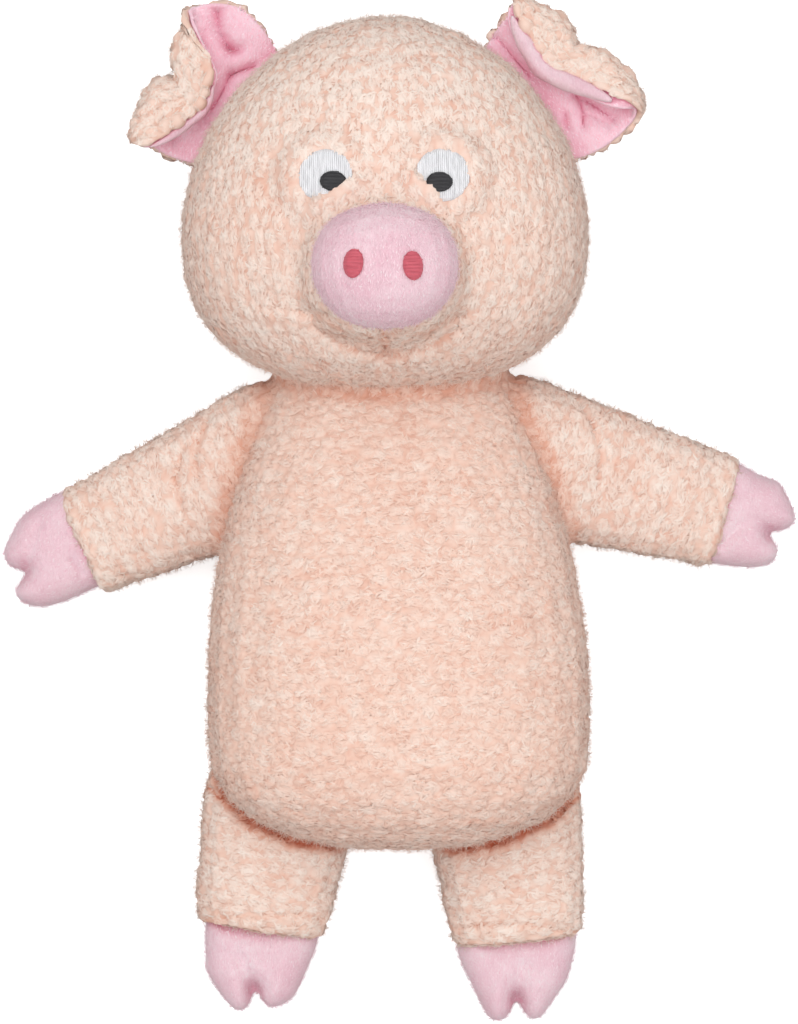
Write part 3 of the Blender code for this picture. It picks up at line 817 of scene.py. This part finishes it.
# %% Curls on a boucle piece
LOCKS_IN_SIGHT = 20
LOCKS_BELOW = 7
LOCKS_ON_EARS = 30
EAR_WISPS = 0.5
WISPS = 0.22                    # share of the locks that are thin and stand out, with more at the sides
PALE_BROW = (125 * MM, 190 * MM)        # the plush grows paler up the forehead
SHADED_BELLY = (-40 * MM, -130 * MM)      # and deeper down the belly: painted shade
LOCK_ROOT = -0.3                # in mm: a lock starts just inside the cover


def shade_curls(nubs, of_nub, corners, line, wisp):
    """A shade for each corner, painted light and shade: pale on top of its nub, deep at the nub's edge and in
    creases, and darker over the trunk and down the belly.
    """
    apart = corners - nubs.places[of_nub][:, None, :]
    from_middle = np.sqrt((np.einsum("ijk,ik->ij", apart, nubs.along[of_nub]) / NUB_LENGTH) ** 2
                          + (np.einsum("ijk,ik->ij", apart, nubs.across[of_nub]) / NUB_WIDTH) ** 2)
    in_crease = nubs.crease[of_nub] > BARELY_CREASED
    painted_crease_shade = np.zeros(from_middle.shape)
    if in_crease.any():
        ends = [crease_at(line[in_crease, station]) for station in (0, 3)]
        painted_crease_shade[in_crease] = ends[0][:, None] * (1 - LOCK_SHARE) + ends[1][:, None] * LOCK_SHARE
    drift = 0.06 * nubs.tone[of_nub] + np.where(wisp, 0.1, 0) + 0.09 * rng.normal(0, 1, len(of_nub))
    up_toy = nubs.places[of_nub, 1]
    # The whole trunk gets a painted shade, deeper still down the belly.
    on_trunk = nubs.sack[of_nub] == PLUSH_NODES.index("trunk")
    brow_tone_and_belly_shade = 0.14 * share_between(up_toy, *PALE_BROW)
    brow_tone_and_belly_shade -= (0.14 + 0.05 * share_between(up_toy, *SHADED_BELLY)) * on_trunk
    return 0.87 - 0.19 * from_middle - painted_crease_shade + drift[:, None] + brow_tone_and_belly_shade[:, None]


def curl_boucle(nubs, tree, locks_on, size=1.0, wisps=WISPS):
    """Locks for each nub: their corners, shading normals, shades, roots and nub numbers."""
    of_nub = np.repeat(np.arange(len(nubs.places)), locks_on)
    count = len(of_nub)
    along, across, out = nubs.along[of_nub], nubs.across[of_nub], nubs.out[of_nub]
    wisp = rng.random(count) < wisps + 0.25 * (np.abs(out[:, 2]) < 0.5)
    angle, far = rng.uniform(0, 2 * pi, count), np.sqrt(rng.uniform(0, 1, count)) * 0.8
    heading = rng.normal(0, 0.7, count) + pi * rng.integers(0, 2, count)
    half = rng.uniform(0.4, 0.75, count) * size
    step_along, step_across = np.cos(heading) * half, np.sin(heading) * half * NUB_LENGTH / NUB_WIDTH
    curl = rng.normal(0, 0.22, count)
    rise = rng.uniform(0.25, 0.6, count) * size
    tip_rise = rng.uniform(-0.25, 0.25, count) + np.where(wisp, rng.uniform(0.5, 1.6, count), 0)
    on_side = np.clip(1.2 - np.abs(out[:, 2]) * 1.6, 0.12, 1)
    stray = wisp & (rng.random(count) < on_side) & (nubs.crease[of_nub] < 0.08)
    reach = rng.uniform(1.2, 3.4, count)
    flat = 1 - 0.8 * np.clip(nubs.crease[of_nub], 0, 1)
    lifts = [np.full(count, LOCK_ROOT)]
    for share, lift in ((0.3, rise), (0.7, rise * 0.8), (1.0, tip_rise)):
        lifts.append(np.where(stray, reach * share, lift) * flat)
    line, outs = [], []
    for share, lift in zip(STATIONS, lifts):
        bow = curl * 4 * share * (1 - share)
        far_along = np.cos(angle) * far + step_along * (2 * share - 1) - step_across * bow
        far_across = np.sin(angle) * far + step_across * (2 * share - 1) + step_along * bow
        places = nubs.places[of_nub] + along * (far_along * NUB_LENGTH)[:, None]
        places += across * (far_across * NUB_WIDTH)[:, None] + out * NUB_RISE / 2
        found = [tree.find_nearest(Vector(place)) for place in places]
        ways_out = unit(np.array([hit[1] for hit in found]) + 0.6 * out)
        line.append(np.array([hit[0] for hit in found]) + ways_out * (lift * MM)[:, None])
        outs.append(ways_out)
    line, outs = np.stack(line, axis=1), np.stack(outs, axis=1)
    thick = rng.uniform(0.45, 0.85, count) * np.where(stray, 0.2, np.where(wisp, 0.45, 1)) * size * MM
    corners, normals = grow_locks(line, outs, thick)
    shades = shade_curls(nubs, of_nub, corners, line, wisp)
    return corners, normals, shades, line[:, 0], of_nub


cover_tree = mesh_tree(cover.data)
locks_on = np.where(nubs.out[:, 2] > -0.35, LOCKS_IN_SIGHT, LOCKS_BELOW)
corners, normals, shades, roots, of_nub = curl_boucle(nubs, cover_tree, locks_on)
print("locks:", len(corners))

COAT_SECTORS = {"head": 4, "trunk": 4}
coat_parts = []
for number, node in enumerate(PLUSH_NODES):
    axis, middle = np.array(knit_axis(node)), np.array(box_middle(node))
    side = np.cross(axis, UP)
    around = np.arctan2((nubs.places - middle) @ side, (nubs.places - middle)[:, 2])
    sectors = COAT_SECTORS.get(node, 1)
    sector = np.floor((around / (2 * pi) + 0.5) * sectors * 0.9999).astype(int)
    for part in range(sectors):
        chosen = ((nubs.sack == number) & (sector == part))[of_nub]
        apart = roots[chosen] - middle
        unwrap = np.arctan2(apart @ side, apart[:, 2]), apart @ axis
        coat_parts.append(coat_piece(f"coat_{node}_{part + 1}", corners[chosen], normals[chosen],
                                     shades[chosen], *unwrap))

# %% Curls on the ears
EAR_NUB_RISE = 2.2 * MM
EAR_LOCK_SIZE = 0.85

for side, shell in ear_shells.items():
    ear_coat = ear_nubs(side)
    raise_nubs(shell, ear_coat, EAR_NUB_RISE)
    corners, normals, shades, roots, _ = curl_boucle(ear_coat, mesh_tree(shell.data), LOCKS_ON_EARS,
                                                     EAR_LOCK_SIZE, EAR_WISPS)
    up_head = np.array(EARS[side]["up_head"].normalized())
    coat_parts.append(coat_piece(f"coat_ear_{side}", corners, normals, shades,
                                 roots @ up_head, roots @ np.cross(up_head, UP) + roots[:, 2]))

# %% [markdown]
# ## Velour pieces
#
# Snout, hooves and tail are short-pile velour, stuffed like the rest. Snout and tail are remeshed from their
# solids. A hoof is cut as a mitten with two toes and filled, and it reaches up inside its sleeve.

# %% Snout, hooves and tail
SEWN_REACH = 1.6 * MM
SEWN_TUCK = 5.5 * MM
VELOUR_OFF_FLOOR = 0.5 * MM
SLAB_HALF = 1.5 * MM
HOOF_VOXEL = 1.1 * MM
HOOF_ROUNDING = 13 * MM


def tuck_in(piece, joined, inwards):
    """Push the part of a velour piece that lies against the boucle a little way into it."""
    places = points_of(piece.data)
    for index, place in enumerate(places):
        away = solid_trees[joined].find_nearest(Vector(place))[3]
        if away < SEWN_REACH:
            places[index] += np.array(inwards) * SEWN_TUCK
    set_points(piece.data, places, VELOUR_OFF_FLOOR)


def mitten(name, node, outline):
    """A stuffed hoof: a flat slab with this outline, filled up to a height that falls off near its edge."""
    ring = np.array(beside(node, outline))
    for _ in range(2):
        ahead = np.roll(ring, -1, axis=0)
        ring = np.stack([0.75 * ring + 0.25 * ahead, 0.25 * ring + 0.75 * ahead], axis=1).reshape(-1, 2)
    low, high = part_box(node)
    middle, half = (low.z + high.z) / 2, (high.z - low.z) / 2
    bm = bmesh.new()
    slab = bm.faces.new([bm.verts.new((x, y, middle - SLAB_HALF)) for x, y in ring])
    top = bmesh.ops.extrude_face_region(bm, geom=[slab])["geom"]
    bmesh.ops.translate(bm, vec=(0, 0, 2 * SLAB_HALF), verts=[part for part in top if hasattr(part, "co")])
    bmesh.ops.recalc_face_normals(bm, faces=bm.faces[:])
    piece = remesh(add_object(name, mesh_of(bm, name)), HOOF_VOXEL, 0)
    places = points_of(piece.data)
    inside = np.clip(beside_plan_line(places[:, :2], np.vstack([ring, ring[:1]])) / HOOF_ROUNDING, 0, 1)
    side = np.clip((places[:, 2] - middle) / SLAB_HALF, -1, 1)
    places[:, 2] = middle + side * half * np.sqrt(1 - (1 - inside) ** 2)
    set_points(piece.data, places)
    return remesh(piece, HOOF_VOXEL, 6)


HOOVES = {                      # an outline, and its creases: a line, a depth and a half width
    "hand_right_hoof": ([
        (6, 31), (-6, 24.5), (-12, 21.5), (-19, 17), (-24, 12.5), (-26.5, 7), (-30, 1), (-31, -4),
        (-29, -8.5), (-25, -10.5), (-19.5, -11.5), (-20.5, -13.5), (-24, -17.5), (-25.5, -21), (-24, -25),
        (-19, -27.5), (-12, -28.5), (-3, -26), (6, -22), (13.5, -18.5), (28, -13)],
        [([(-19, -10), (-18, 0), (-14, 10)], 1.6, 3.0), ([(1.6, -4.7), (6.2, -12.6)], 1.4, 1.2)]),
    "hand_left_hoof": ([
        (-14, 30), (-1.5, 25), (4, 22.5), (9.5, 19), (14.5, 17), (20, 15.5), (22.5, 11), (25.5, 5), (28, -1),
        (26.5, -5), (23, -7.5), (18.5, -7.7), (14.5, -9), (17, -12), (19.3, -15), (19.2, -19.7), (16.5, -23),
        (10.5, -25), (4, -25), (-5.5, -24), (-15, -22.3), (-27, -18)],
        [([(15, -9), (8, -3), (0, -6), (-7, -14)], 1.6, 3.0)]),
    "foot_right_hoof": ([
        (-25, 22), (-25.5, 9.5), (-25, 1), (-25, -6.5), (-20.5, -13.5), (-16, -20), (-11.5, -25), (-6.5, -25),
        (-3.5, -20), (-2.3, -12), (0.5, -19), (4, -23.5), (8.5, -23.5), (16, -19.5), (19.7, -12), (23.7, -3),
        (27.7, 7), (28, 22)],
        [([(-2.3, -15), (-4, -8), (-9, 1)], 1.8, 3.0)]),
    "foot_left_hoof": ([
        (-29, 22), (-29, 9), (-26.5, 2), (-21.7, -7.5), (-18.3, -15), (-14, -23), (-10.7, -24.7),
        (-6.3, -24), (-3, -19), (-0.9, -11.5), (1.3, -18), (4.7, -23), (8.5, -24.2), (12.5, -21.3),
        (15.8, -15), (22, -7.5), (25, 2), (27.3, 12), (27, 24)],
        [([(-0.9, -14), (-1, -7), (2, 2)], 1.8, 3.0)]),
}
velour_parts = []
for name, (outline, creases) in HOOVES.items():
    hoof = mitten(f"velour_{name}", name, outline)
    press_lines(hoof.data, [(beside(name, line), depth * MM, width * MM) for line, depth, width in creases])
    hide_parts(name)
    velour_parts.append(hoof)
snout = even_skin("velour_snout", ["snout"], 1.0 * MM, 8)
tuck_in(snout, "head", -UP)
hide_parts("snout")
tail = even_skin("velour_tail", ["tail"], 0.7 * MM, 3)
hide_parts("tail")
velour_parts += [snout, tail]
print("velour pieces:", [piece.name for piece in velour_parts])

# %% [markdown]
# ## Stitching
#
# Eyes, pupils and nostrils are satin stitch: threads side by side, each a fine rope that dives into the cloth
# at both ends. A row of rays finds where each thread starts, how it lies on the patch, and where it ends.

# %% Satin stitch
THREAD_STEP = 0.8 * MM


def stitch_patch(name, node, run, pitch, thread, raggedness):
    """Threads over a patch that run along X or Y, and the patch itself as their backing."""
    tree = surface_tree(welded_copy(node))
    low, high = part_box(node)
    across = "xy".replace(run, "")
    lines = []
    for row in range(int((getattr(high, across) - getattr(low, across)) / pitch) + 1):
        place = Vector((0, 0, high.z + 5 * MM))
        setattr(place, across, getattr(low, across) + (row + 0.5) * pitch)
        points = []
        for step in range(int((getattr(high, run) - getattr(low, run)) / THREAD_STEP) + 2):
            setattr(place, run, getattr(low, run) + step * THREAD_STEP)
            hit, normal, _, _ = tree.ray_cast(place, -UP)
            if hit is not None and normal.z > 0.3:
                points.append(hit)
        if len(points) < 2:
            continue
        for end, inner in ((0, 1), (-1, -2)):
            reach = (points[end] - points[inner]).normalized() * rng.uniform(-0.2, 1.0) * raggedness
            points[end] = points[end] + reach
        middle = [(point - UP * thread * 0.25, rng.uniform(0.9, 1.08)) for point in points[1:-1]]
        first, last = [(points[end] - UP * thread * 1.1, 0.55) for end in (0, -1)]
        lines.append([first, *middle, last])
    bm = ropes(name, lines, thread, 1)
    backing = welded_copy(node)
    bmesh.ops.translate(backing, vec=(0, 0, -0.5 * thread), verts=backing.verts[:])
    pour(backing, bm)
    piece = add_object(name, mesh_of(bm, name))
    piece.data.shade_smooth()
    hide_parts(node)
    return piece


STITCHES = {                    # for each patch: the way its threads run, their pitch, radius and ragged ends
    "eye": ("y", 0.85 * MM, 0.46 * MM, 0.5 * MM),
    "pupil": ("x", 0.62 * MM, 0.36 * MM, 0.5 * MM),
    "nostril": ("x", 0.62 * MM, 0.36 * MM, 0.6 * MM),
}
stitched = {}
for side in ("left", "right"):
    for patch, rule in STITCHES.items():
        node = f"{patch}_{side}"
        stitched[node] = stitch_patch(f"stitched_{node}", node, *rule)
print({name: len(piece.data.polygons) for name, piece in stitched.items()})

# %% [markdown]
# ## Pile and folds
#
# The velour's open front carries a short pile, brushed one way. Every point of the velour also notes how deep
# it lies in a fold: of the rays that leave it, how many soon meet cloth again. Its colour takes this as
# painted shade.

# %% Pile on the velour
PILE_SHARE = 0.42               # tufts for each face of the velour
PILE_LENGTH = (1.3 * MM, 2.3 * MM)
PILE_OFF_FLOOR = 2 * MM
PILE_HIDDEN_UNDER = 7 * MM      # velour with the cover this near in front of it stays bare


def grow_pile(piece, lean, name):
    """Short flat tufts on the open front of a velour piece, brushed one way."""
    places, outs = read(piece.data.polygons, "center"), read(piece.data.polygons, "normal")
    chosen = (rng.random(len(places)) < PILE_SHARE) & (outs[:, 2] > -0.25)
    chosen &= places[:, 2] > PILE_OFF_FLOOR
    for index in np.nonzero(chosen)[0]:
        hit = cover_tree.ray_cast(Vector(places[index]), Vector(outs[index]), PILE_HIDDEN_UNDER)[0]
        chosen[index] = hit is None
    places, outs = places[chosen], outs[chosen]
    count = len(places)
    way = np.array(lean) + rng.normal(0, 0.35, (count, 3))
    way = unit(way - outs * np.sum(way * outs, axis=1, keepdims=True))
    length = rng.uniform(*PILE_LENGTH, count)
    tip = rng.uniform(0.3, 0.8, count) * (1.6 - np.abs(outs[:, 2])) * MM
    line = [places + way * (length * share)[:, None] + outs * lift[:, None]
            for share, lift in zip(STATIONS, (tip * 0 - 0.3 * MM, tip * 0.6, tip, tip))]
    corners, normals = grow_locks(np.stack(line, axis=1), np.repeat(outs[:, None], 4, axis=1),
                                  rng.uniform(0.18, 0.32, count) * MM)
    shades = 0.3 + 0.45 * LOCK_SHARE[None] + 0.16 * rng.normal(0, 1, count)[:, None]
    return coat_piece(name, corners, normals, shades, places[:, 0] + 0.3 * places[:, 2], places[:, 1])


pile_parts = {"velour_pile": [], "lining_pile": []}
for piece in velour_parts[:5]:
    node = piece.name.removeprefix("velour_")
    lean = -knit_axis(HOOF_LIMBS[node]) if node in HOOVES else Vector((0, -1, 0))
    pile_parts["velour_pile"].append(grow_pile(piece, lean, f"coat_{node}"))
for side, lining in ear_linings.items():
    pile_parts["lining_pile"].append(grow_pile(lining, EARS[side]["up_head"], f"coat_lining_{side}"))

# %% How deep the velour lies in a fold
FOLD_SIGHT = 11 * MM
FOLD_RINGS = ((0.3, 3), (0.75, 5), (1.15, 6))       # the rays' tilt off the normal, and how many share it
FOLD_RAYS = [Vector((sin(tilt) * cos(turn), sin(tilt) * sin(turn), cos(tilt)))
             for tilt, turns in FOLD_RINGS for turn in np.arange(turns) * 2 * pi / turns + tilt]
around = bmesh.new()
pink_parts = [*velour_parts, *ear_linings.values(), *ear_hems.values()]
for piece in [*pink_parts, cover, *ear_shells.values()]:
    around.from_mesh(piece.data)
around_tree = surface_tree(around)
for piece in pink_parts:
    fold_shades = []
    for place, out in zip(points_of(piece.data), normals_of(piece.data)):
        out = Vector(out)
        turn = UP.rotation_difference(out)
        start = Vector(place) + out * 0.4 * MM
        met = sum(around_tree.ray_cast(start, turn @ ray, FOLD_SIGHT)[0] is not None for ray in FOLD_RAYS)
        fold_shades.append(met / len(FOLD_RAYS))
    # This share is painted as shade into the velour's colour.
    note(piece.data, "fold", fold_shades)

# %% [markdown]
# ## Finishes

# %% Node helpers
def new_finish(name):
    material = bpy.data.materials.new(name)
    material.use_nodes = True
    tree = material.node_tree
    return material, tree, tree.nodes["Principled BSDF"]


def set_inputs(tree, node, inputs):
    """Give each input its value, or a link from the socket that it follows."""
    for key, value in inputs.items():
        if isinstance(value, bpy.types.NodeSocket):
            tree.links.new(value, node.inputs[key])
        else:
            node.inputs[key].default_value = value


def add_node(tree, kind, inputs, output=0, **settings):
    """Add a node with its settings and inputs, and return one of its outputs."""
    node = tree.nodes.new("ShaderNode" + kind)
    for key, value in settings.items():
        setattr(node, key, value)
    set_inputs(tree, node, inputs)
    return node.outputs[output]


def ramp_between(tree, source, stops):
    """A colour ramp over a value: stops are (place, colour)."""
    ramp = tree.nodes.new("ShaderNodeValToRGB")
    elements = ramp.color_ramp.elements
    while len(elements) < len(stops):
        elements.new(1)
    for element, (place, colour) in zip(elements, stops):
        element.position, element.color = place, (*colour, 1)
    set_inputs(tree, ramp, {0: source})
    return ramp.outputs[0]


def noise_along(tree, scale, inputs, turn=0):
    """Noise in the piece's own space, stretched by a scale for each axis."""
    coords = add_node(tree, "TexCoord", {}, "Object")
    stretched = add_node(tree, "Mapping", {"Vector": coords, "Rotation": (0, 0, turn), "Scale": scale})
    return add_node(tree, "TexNoise", {"Vector": stretched, "Scale": 1.0, **inputs}, "Fac")


def dress(pieces, material):
    for piece in pieces:
        piece.data.materials.clear()
        piece.data.materials.append(material)


# %% [markdown]
# The boucle's colour follows the shade that is noted on every curl, painted light and shade: terracotta deep
# in the creases, salmon between the nubs and cream on top.

# %% Boucle
# Terracotta and salmon are the stops of the painted shade in creases and between the nubs.
SHADED_TERRACOTTA = (0.48, 0.13, 0.07)
SALMON = (0.72, 0.39, 0.29)
BLUSH = (0.81, 0.56, 0.46)
CREAM = (0.87, 0.74, 0.66)

boucle, tree, shader = new_finish("boucle_curls")
shade = add_node(tree, "Attribute", {}, "Fac", attribute_name="shade")
depth = add_node(tree, "MapRange", {"Value": shade, "From Min": -0.5, "From Max": 1.0})
boucle_colour = ramp_between(tree, depth, [(0.0, SHADED_TERRACOTTA), (0.35, SALMON), (0.65, BLUSH), (1.0, CREAM)])
set_inputs(tree, shader, {"Base Color": boucle_colour, "Roughness": 0.9, "Specular IOR Level": 0.15})
dress([*coat_parts, cover, *ear_shells.values()], boucle)

# %% [markdown]
# Velour has lighter and deeper streaks along its pile, deep pink painted into its folds as shade, and a faint
# painted glow for light through the cloth. Its short pile has a pale tip. Thread keeps one colour that drifts
# a little from stitch to stitch.

# %% Velour and thread
# Deep pink is the painted shade in the velour's folds.
FOLD_SHADE_PINK = (0.72, 0.22, 0.33)
PINK = (0.79, 0.48, 0.56)
PALE_PINK = (0.87, 0.63, 0.69)
PILE_TIP = (0.90, 0.77, 0.80)
VELOUR_PILE = [(0.32, PINK), (0.56, PALE_PINK), (0.72, PILE_TIP)]
LINING_PILE = [(0.32, (0.83, 0.42, 0.52)), (0.56, (0.88, 0.60, 0.68)), (0.72, (0.90, 0.73, 0.79))]
FOLD_SHADE_STOPS = [(0.1, (0, 0, 0)), (0.8, (1, 1, 1))]
VELOUR_GLOW = 0.03              # painted light: a glow for the light that passes through thin cloth
LINING_GLOW = 0.16
VELOUR_SURFACE = {"Roughness": 0.85, "Sheen Weight": 0.5, "Sheen Roughness": 0.45}


def velour_finish(name, streak_turn, stops, glow):
    """Short pile: streaks of lighter and deeper pink along the pile, and a fine bump."""
    material, tree, shader = new_finish(name)
    streaky = {"Detail": 3.0, "Roughness": 0.6, "Distortion": 1.2}
    streaks = noise_along(tree, (1500, 480, 900), streaky, streak_turn)
    cloud = noise_along(tree, (55, 55, 55), {"Detail": 2.0})
    both = add_node(tree, "Math", {0: streaks, 1: cloud}, operation="ADD")
    half = add_node(tree, "Math", {0: both, 1: 0.5}, operation="MULTIPLY")
    # The fold share mixes in deep pink: painted shade in the velour's folds.
    fold = add_node(tree, "Attribute", {}, "Fac", attribute_name="fold")
    colours = {"Factor": ramp_between(tree, fold, FOLD_SHADE_STOPS), "A": ramp_between(tree, half, stops),
               "B": (*FOLD_SHADE_PINK, 1)}
    colour = add_node(tree, "Mix", colours, "Result", data_type="RGBA")
    bump = add_node(tree, "Bump", {"Strength": 0.8, "Distance": 0.001, "Height": streaks})
    # The emission is a painted glow for light through the cloth.
    set_inputs(tree, shader, {"Base Color": colour, "Emission Color": colour, "Emission Strength": glow,
                              "Normal": bump, **VELOUR_SURFACE})
    return material


def pile_finish(name, stops, glow):
    """Pile tufts: deep at the root and pale at the tip."""
    material, tree, shader = new_finish(name)
    shade = add_node(tree, "Attribute", {}, "Fac", attribute_name="shade")
    colour = ramp_between(tree, shade, list(zip((0.1, 0.6, 1.0), [colour for _, colour in stops])))
    # The emission is a painted glow for light through the cloth.
    set_inputs(tree, shader, {"Base Color": colour, "Emission Color": colour, "Emission Strength": glow,
                              "Roughness": 0.85})
    return material


def thread_finish(name, colour, roughness, scale):
    """Thread whose tone drifts a little from stitch to stitch."""
    material, tree, shader = new_finish(name)
    darker = tuple(0.88 * channel for channel in colour)
    lighter = tuple(1.05 * channel + 0.01 for channel in colour)
    drift = noise_along(tree, scale, {"Detail": 2.0})
    colour = ramp_between(tree, drift, [(0.35, darker), (0.62, lighter)])
    set_inputs(tree, shader, {"Base Color": colour, "Roughness": roughness})
    return material


ALONG_X, ALONG_Y = (150, 1200, 150), (1200, 150, 150)
threads = {"eye": thread_finish("white_thread", (0.78, 0.78, 0.80), 0.5, ALONG_Y),
           "pupil": thread_finish("black_thread", (0.025, 0.024, 0.028), 0.45, ALONG_X),
           "nostril": thread_finish("rose_thread", (0.60, 0.11, 0.15), 0.45, ALONG_X)}
dress([*velour_parts, *ear_hems.values()], velour_finish("pink_velour", 0, VELOUR_PILE, VELOUR_GLOW))
dress(ear_linings.values(), velour_finish("pink_lining", radians(50), LINING_PILE, LINING_GLOW))
dress(pile_parts["velour_pile"], pile_finish("velour_pile", VELOUR_PILE, VELOUR_GLOW))
dress(pile_parts["lining_pile"], pile_finish("lining_pile", LINING_PILE, LINING_GLOW))
for name, piece in stitched.items():
    dress([piece], threads[name.split("_")[0]])

# %% [markdown]
# ## Light
#
# The white floor glows a little and throws no light back on the toy. A round sky is brighter above than
# below, and two softboxes, over the head and over the feet, give the toy its soft shade.

# %% Floor and light
bm = bmesh.new()
bmesh.ops.create_grid(bm, x_segments=1, y_segments=1, size=4)
floor = add_object("floor", mesh_of(bm, "floor"))
floor_finish, tree, shader = new_finish("pale_floor")
set_inputs(tree, shader, {"Base Color": (0.9, 0.9, 0.9, 1), "Roughness": 0.8,
                          "Emission Color": (1, 1, 1, 1), "Emission Strength": 0.6})
floor.visible_diffuse = False
dress([floor], floor_finish)

world = bpy.data.worlds.new("studio")
bpy.context.scene.world = world
world.use_nodes = True
tree = world.node_tree
direction = add_node(tree, "TexCoord", {}, "Generated")
height = add_node(tree, "SeparateXYZ", {0: direction}, "Z")
sky = {"From Min": -0.6, "From Max": 0.5, "To Min": 0.2, "To Max": 0.81}
glow = add_node(tree, "MapRange", {"Value": height, **sky})
set_inputs(tree, tree.nodes["Background"], {"Strength": glow, "Color": (1, 1, 1, 1)})
bpy.context.scene.view_settings.view_transform = "Standard"


def add_softbox(name, place, aim, size, power):
    lamp_data = bpy.data.lights.new(name, "AREA")
    lamp_data.size = size
    lamp_data.energy = power
    lamp = add_object(name, lamp_data)
    lamp.location = place
    lamp.rotation_euler = (Vector(aim) - Vector(place)).to_track_quat("-Z", "Y").to_euler()


add_softbox("key", (-0.3, 0.5, 1.7), (0, 0, 0.05), 1.0, 9.3)
add_softbox("fill", (0.6, -0.4, 1.5), (0, 0, 0.05), 1.2, 4.4)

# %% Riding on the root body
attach(cover, "root")
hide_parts(*PLUSH_NODES)
for piece in [*coat_parts, *ear_shells.values()]:
    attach(piece, "root")
pile = pile_parts["velour_pile"] + pile_parts["lining_pile"]
for piece in [*pile, *ear_linings.values(), *ear_hems.values()]:
    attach(piece, "root")
for piece in velour_parts:
    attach(piece, "root")
for name, piece in stitched.items():
    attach(piece, "root")
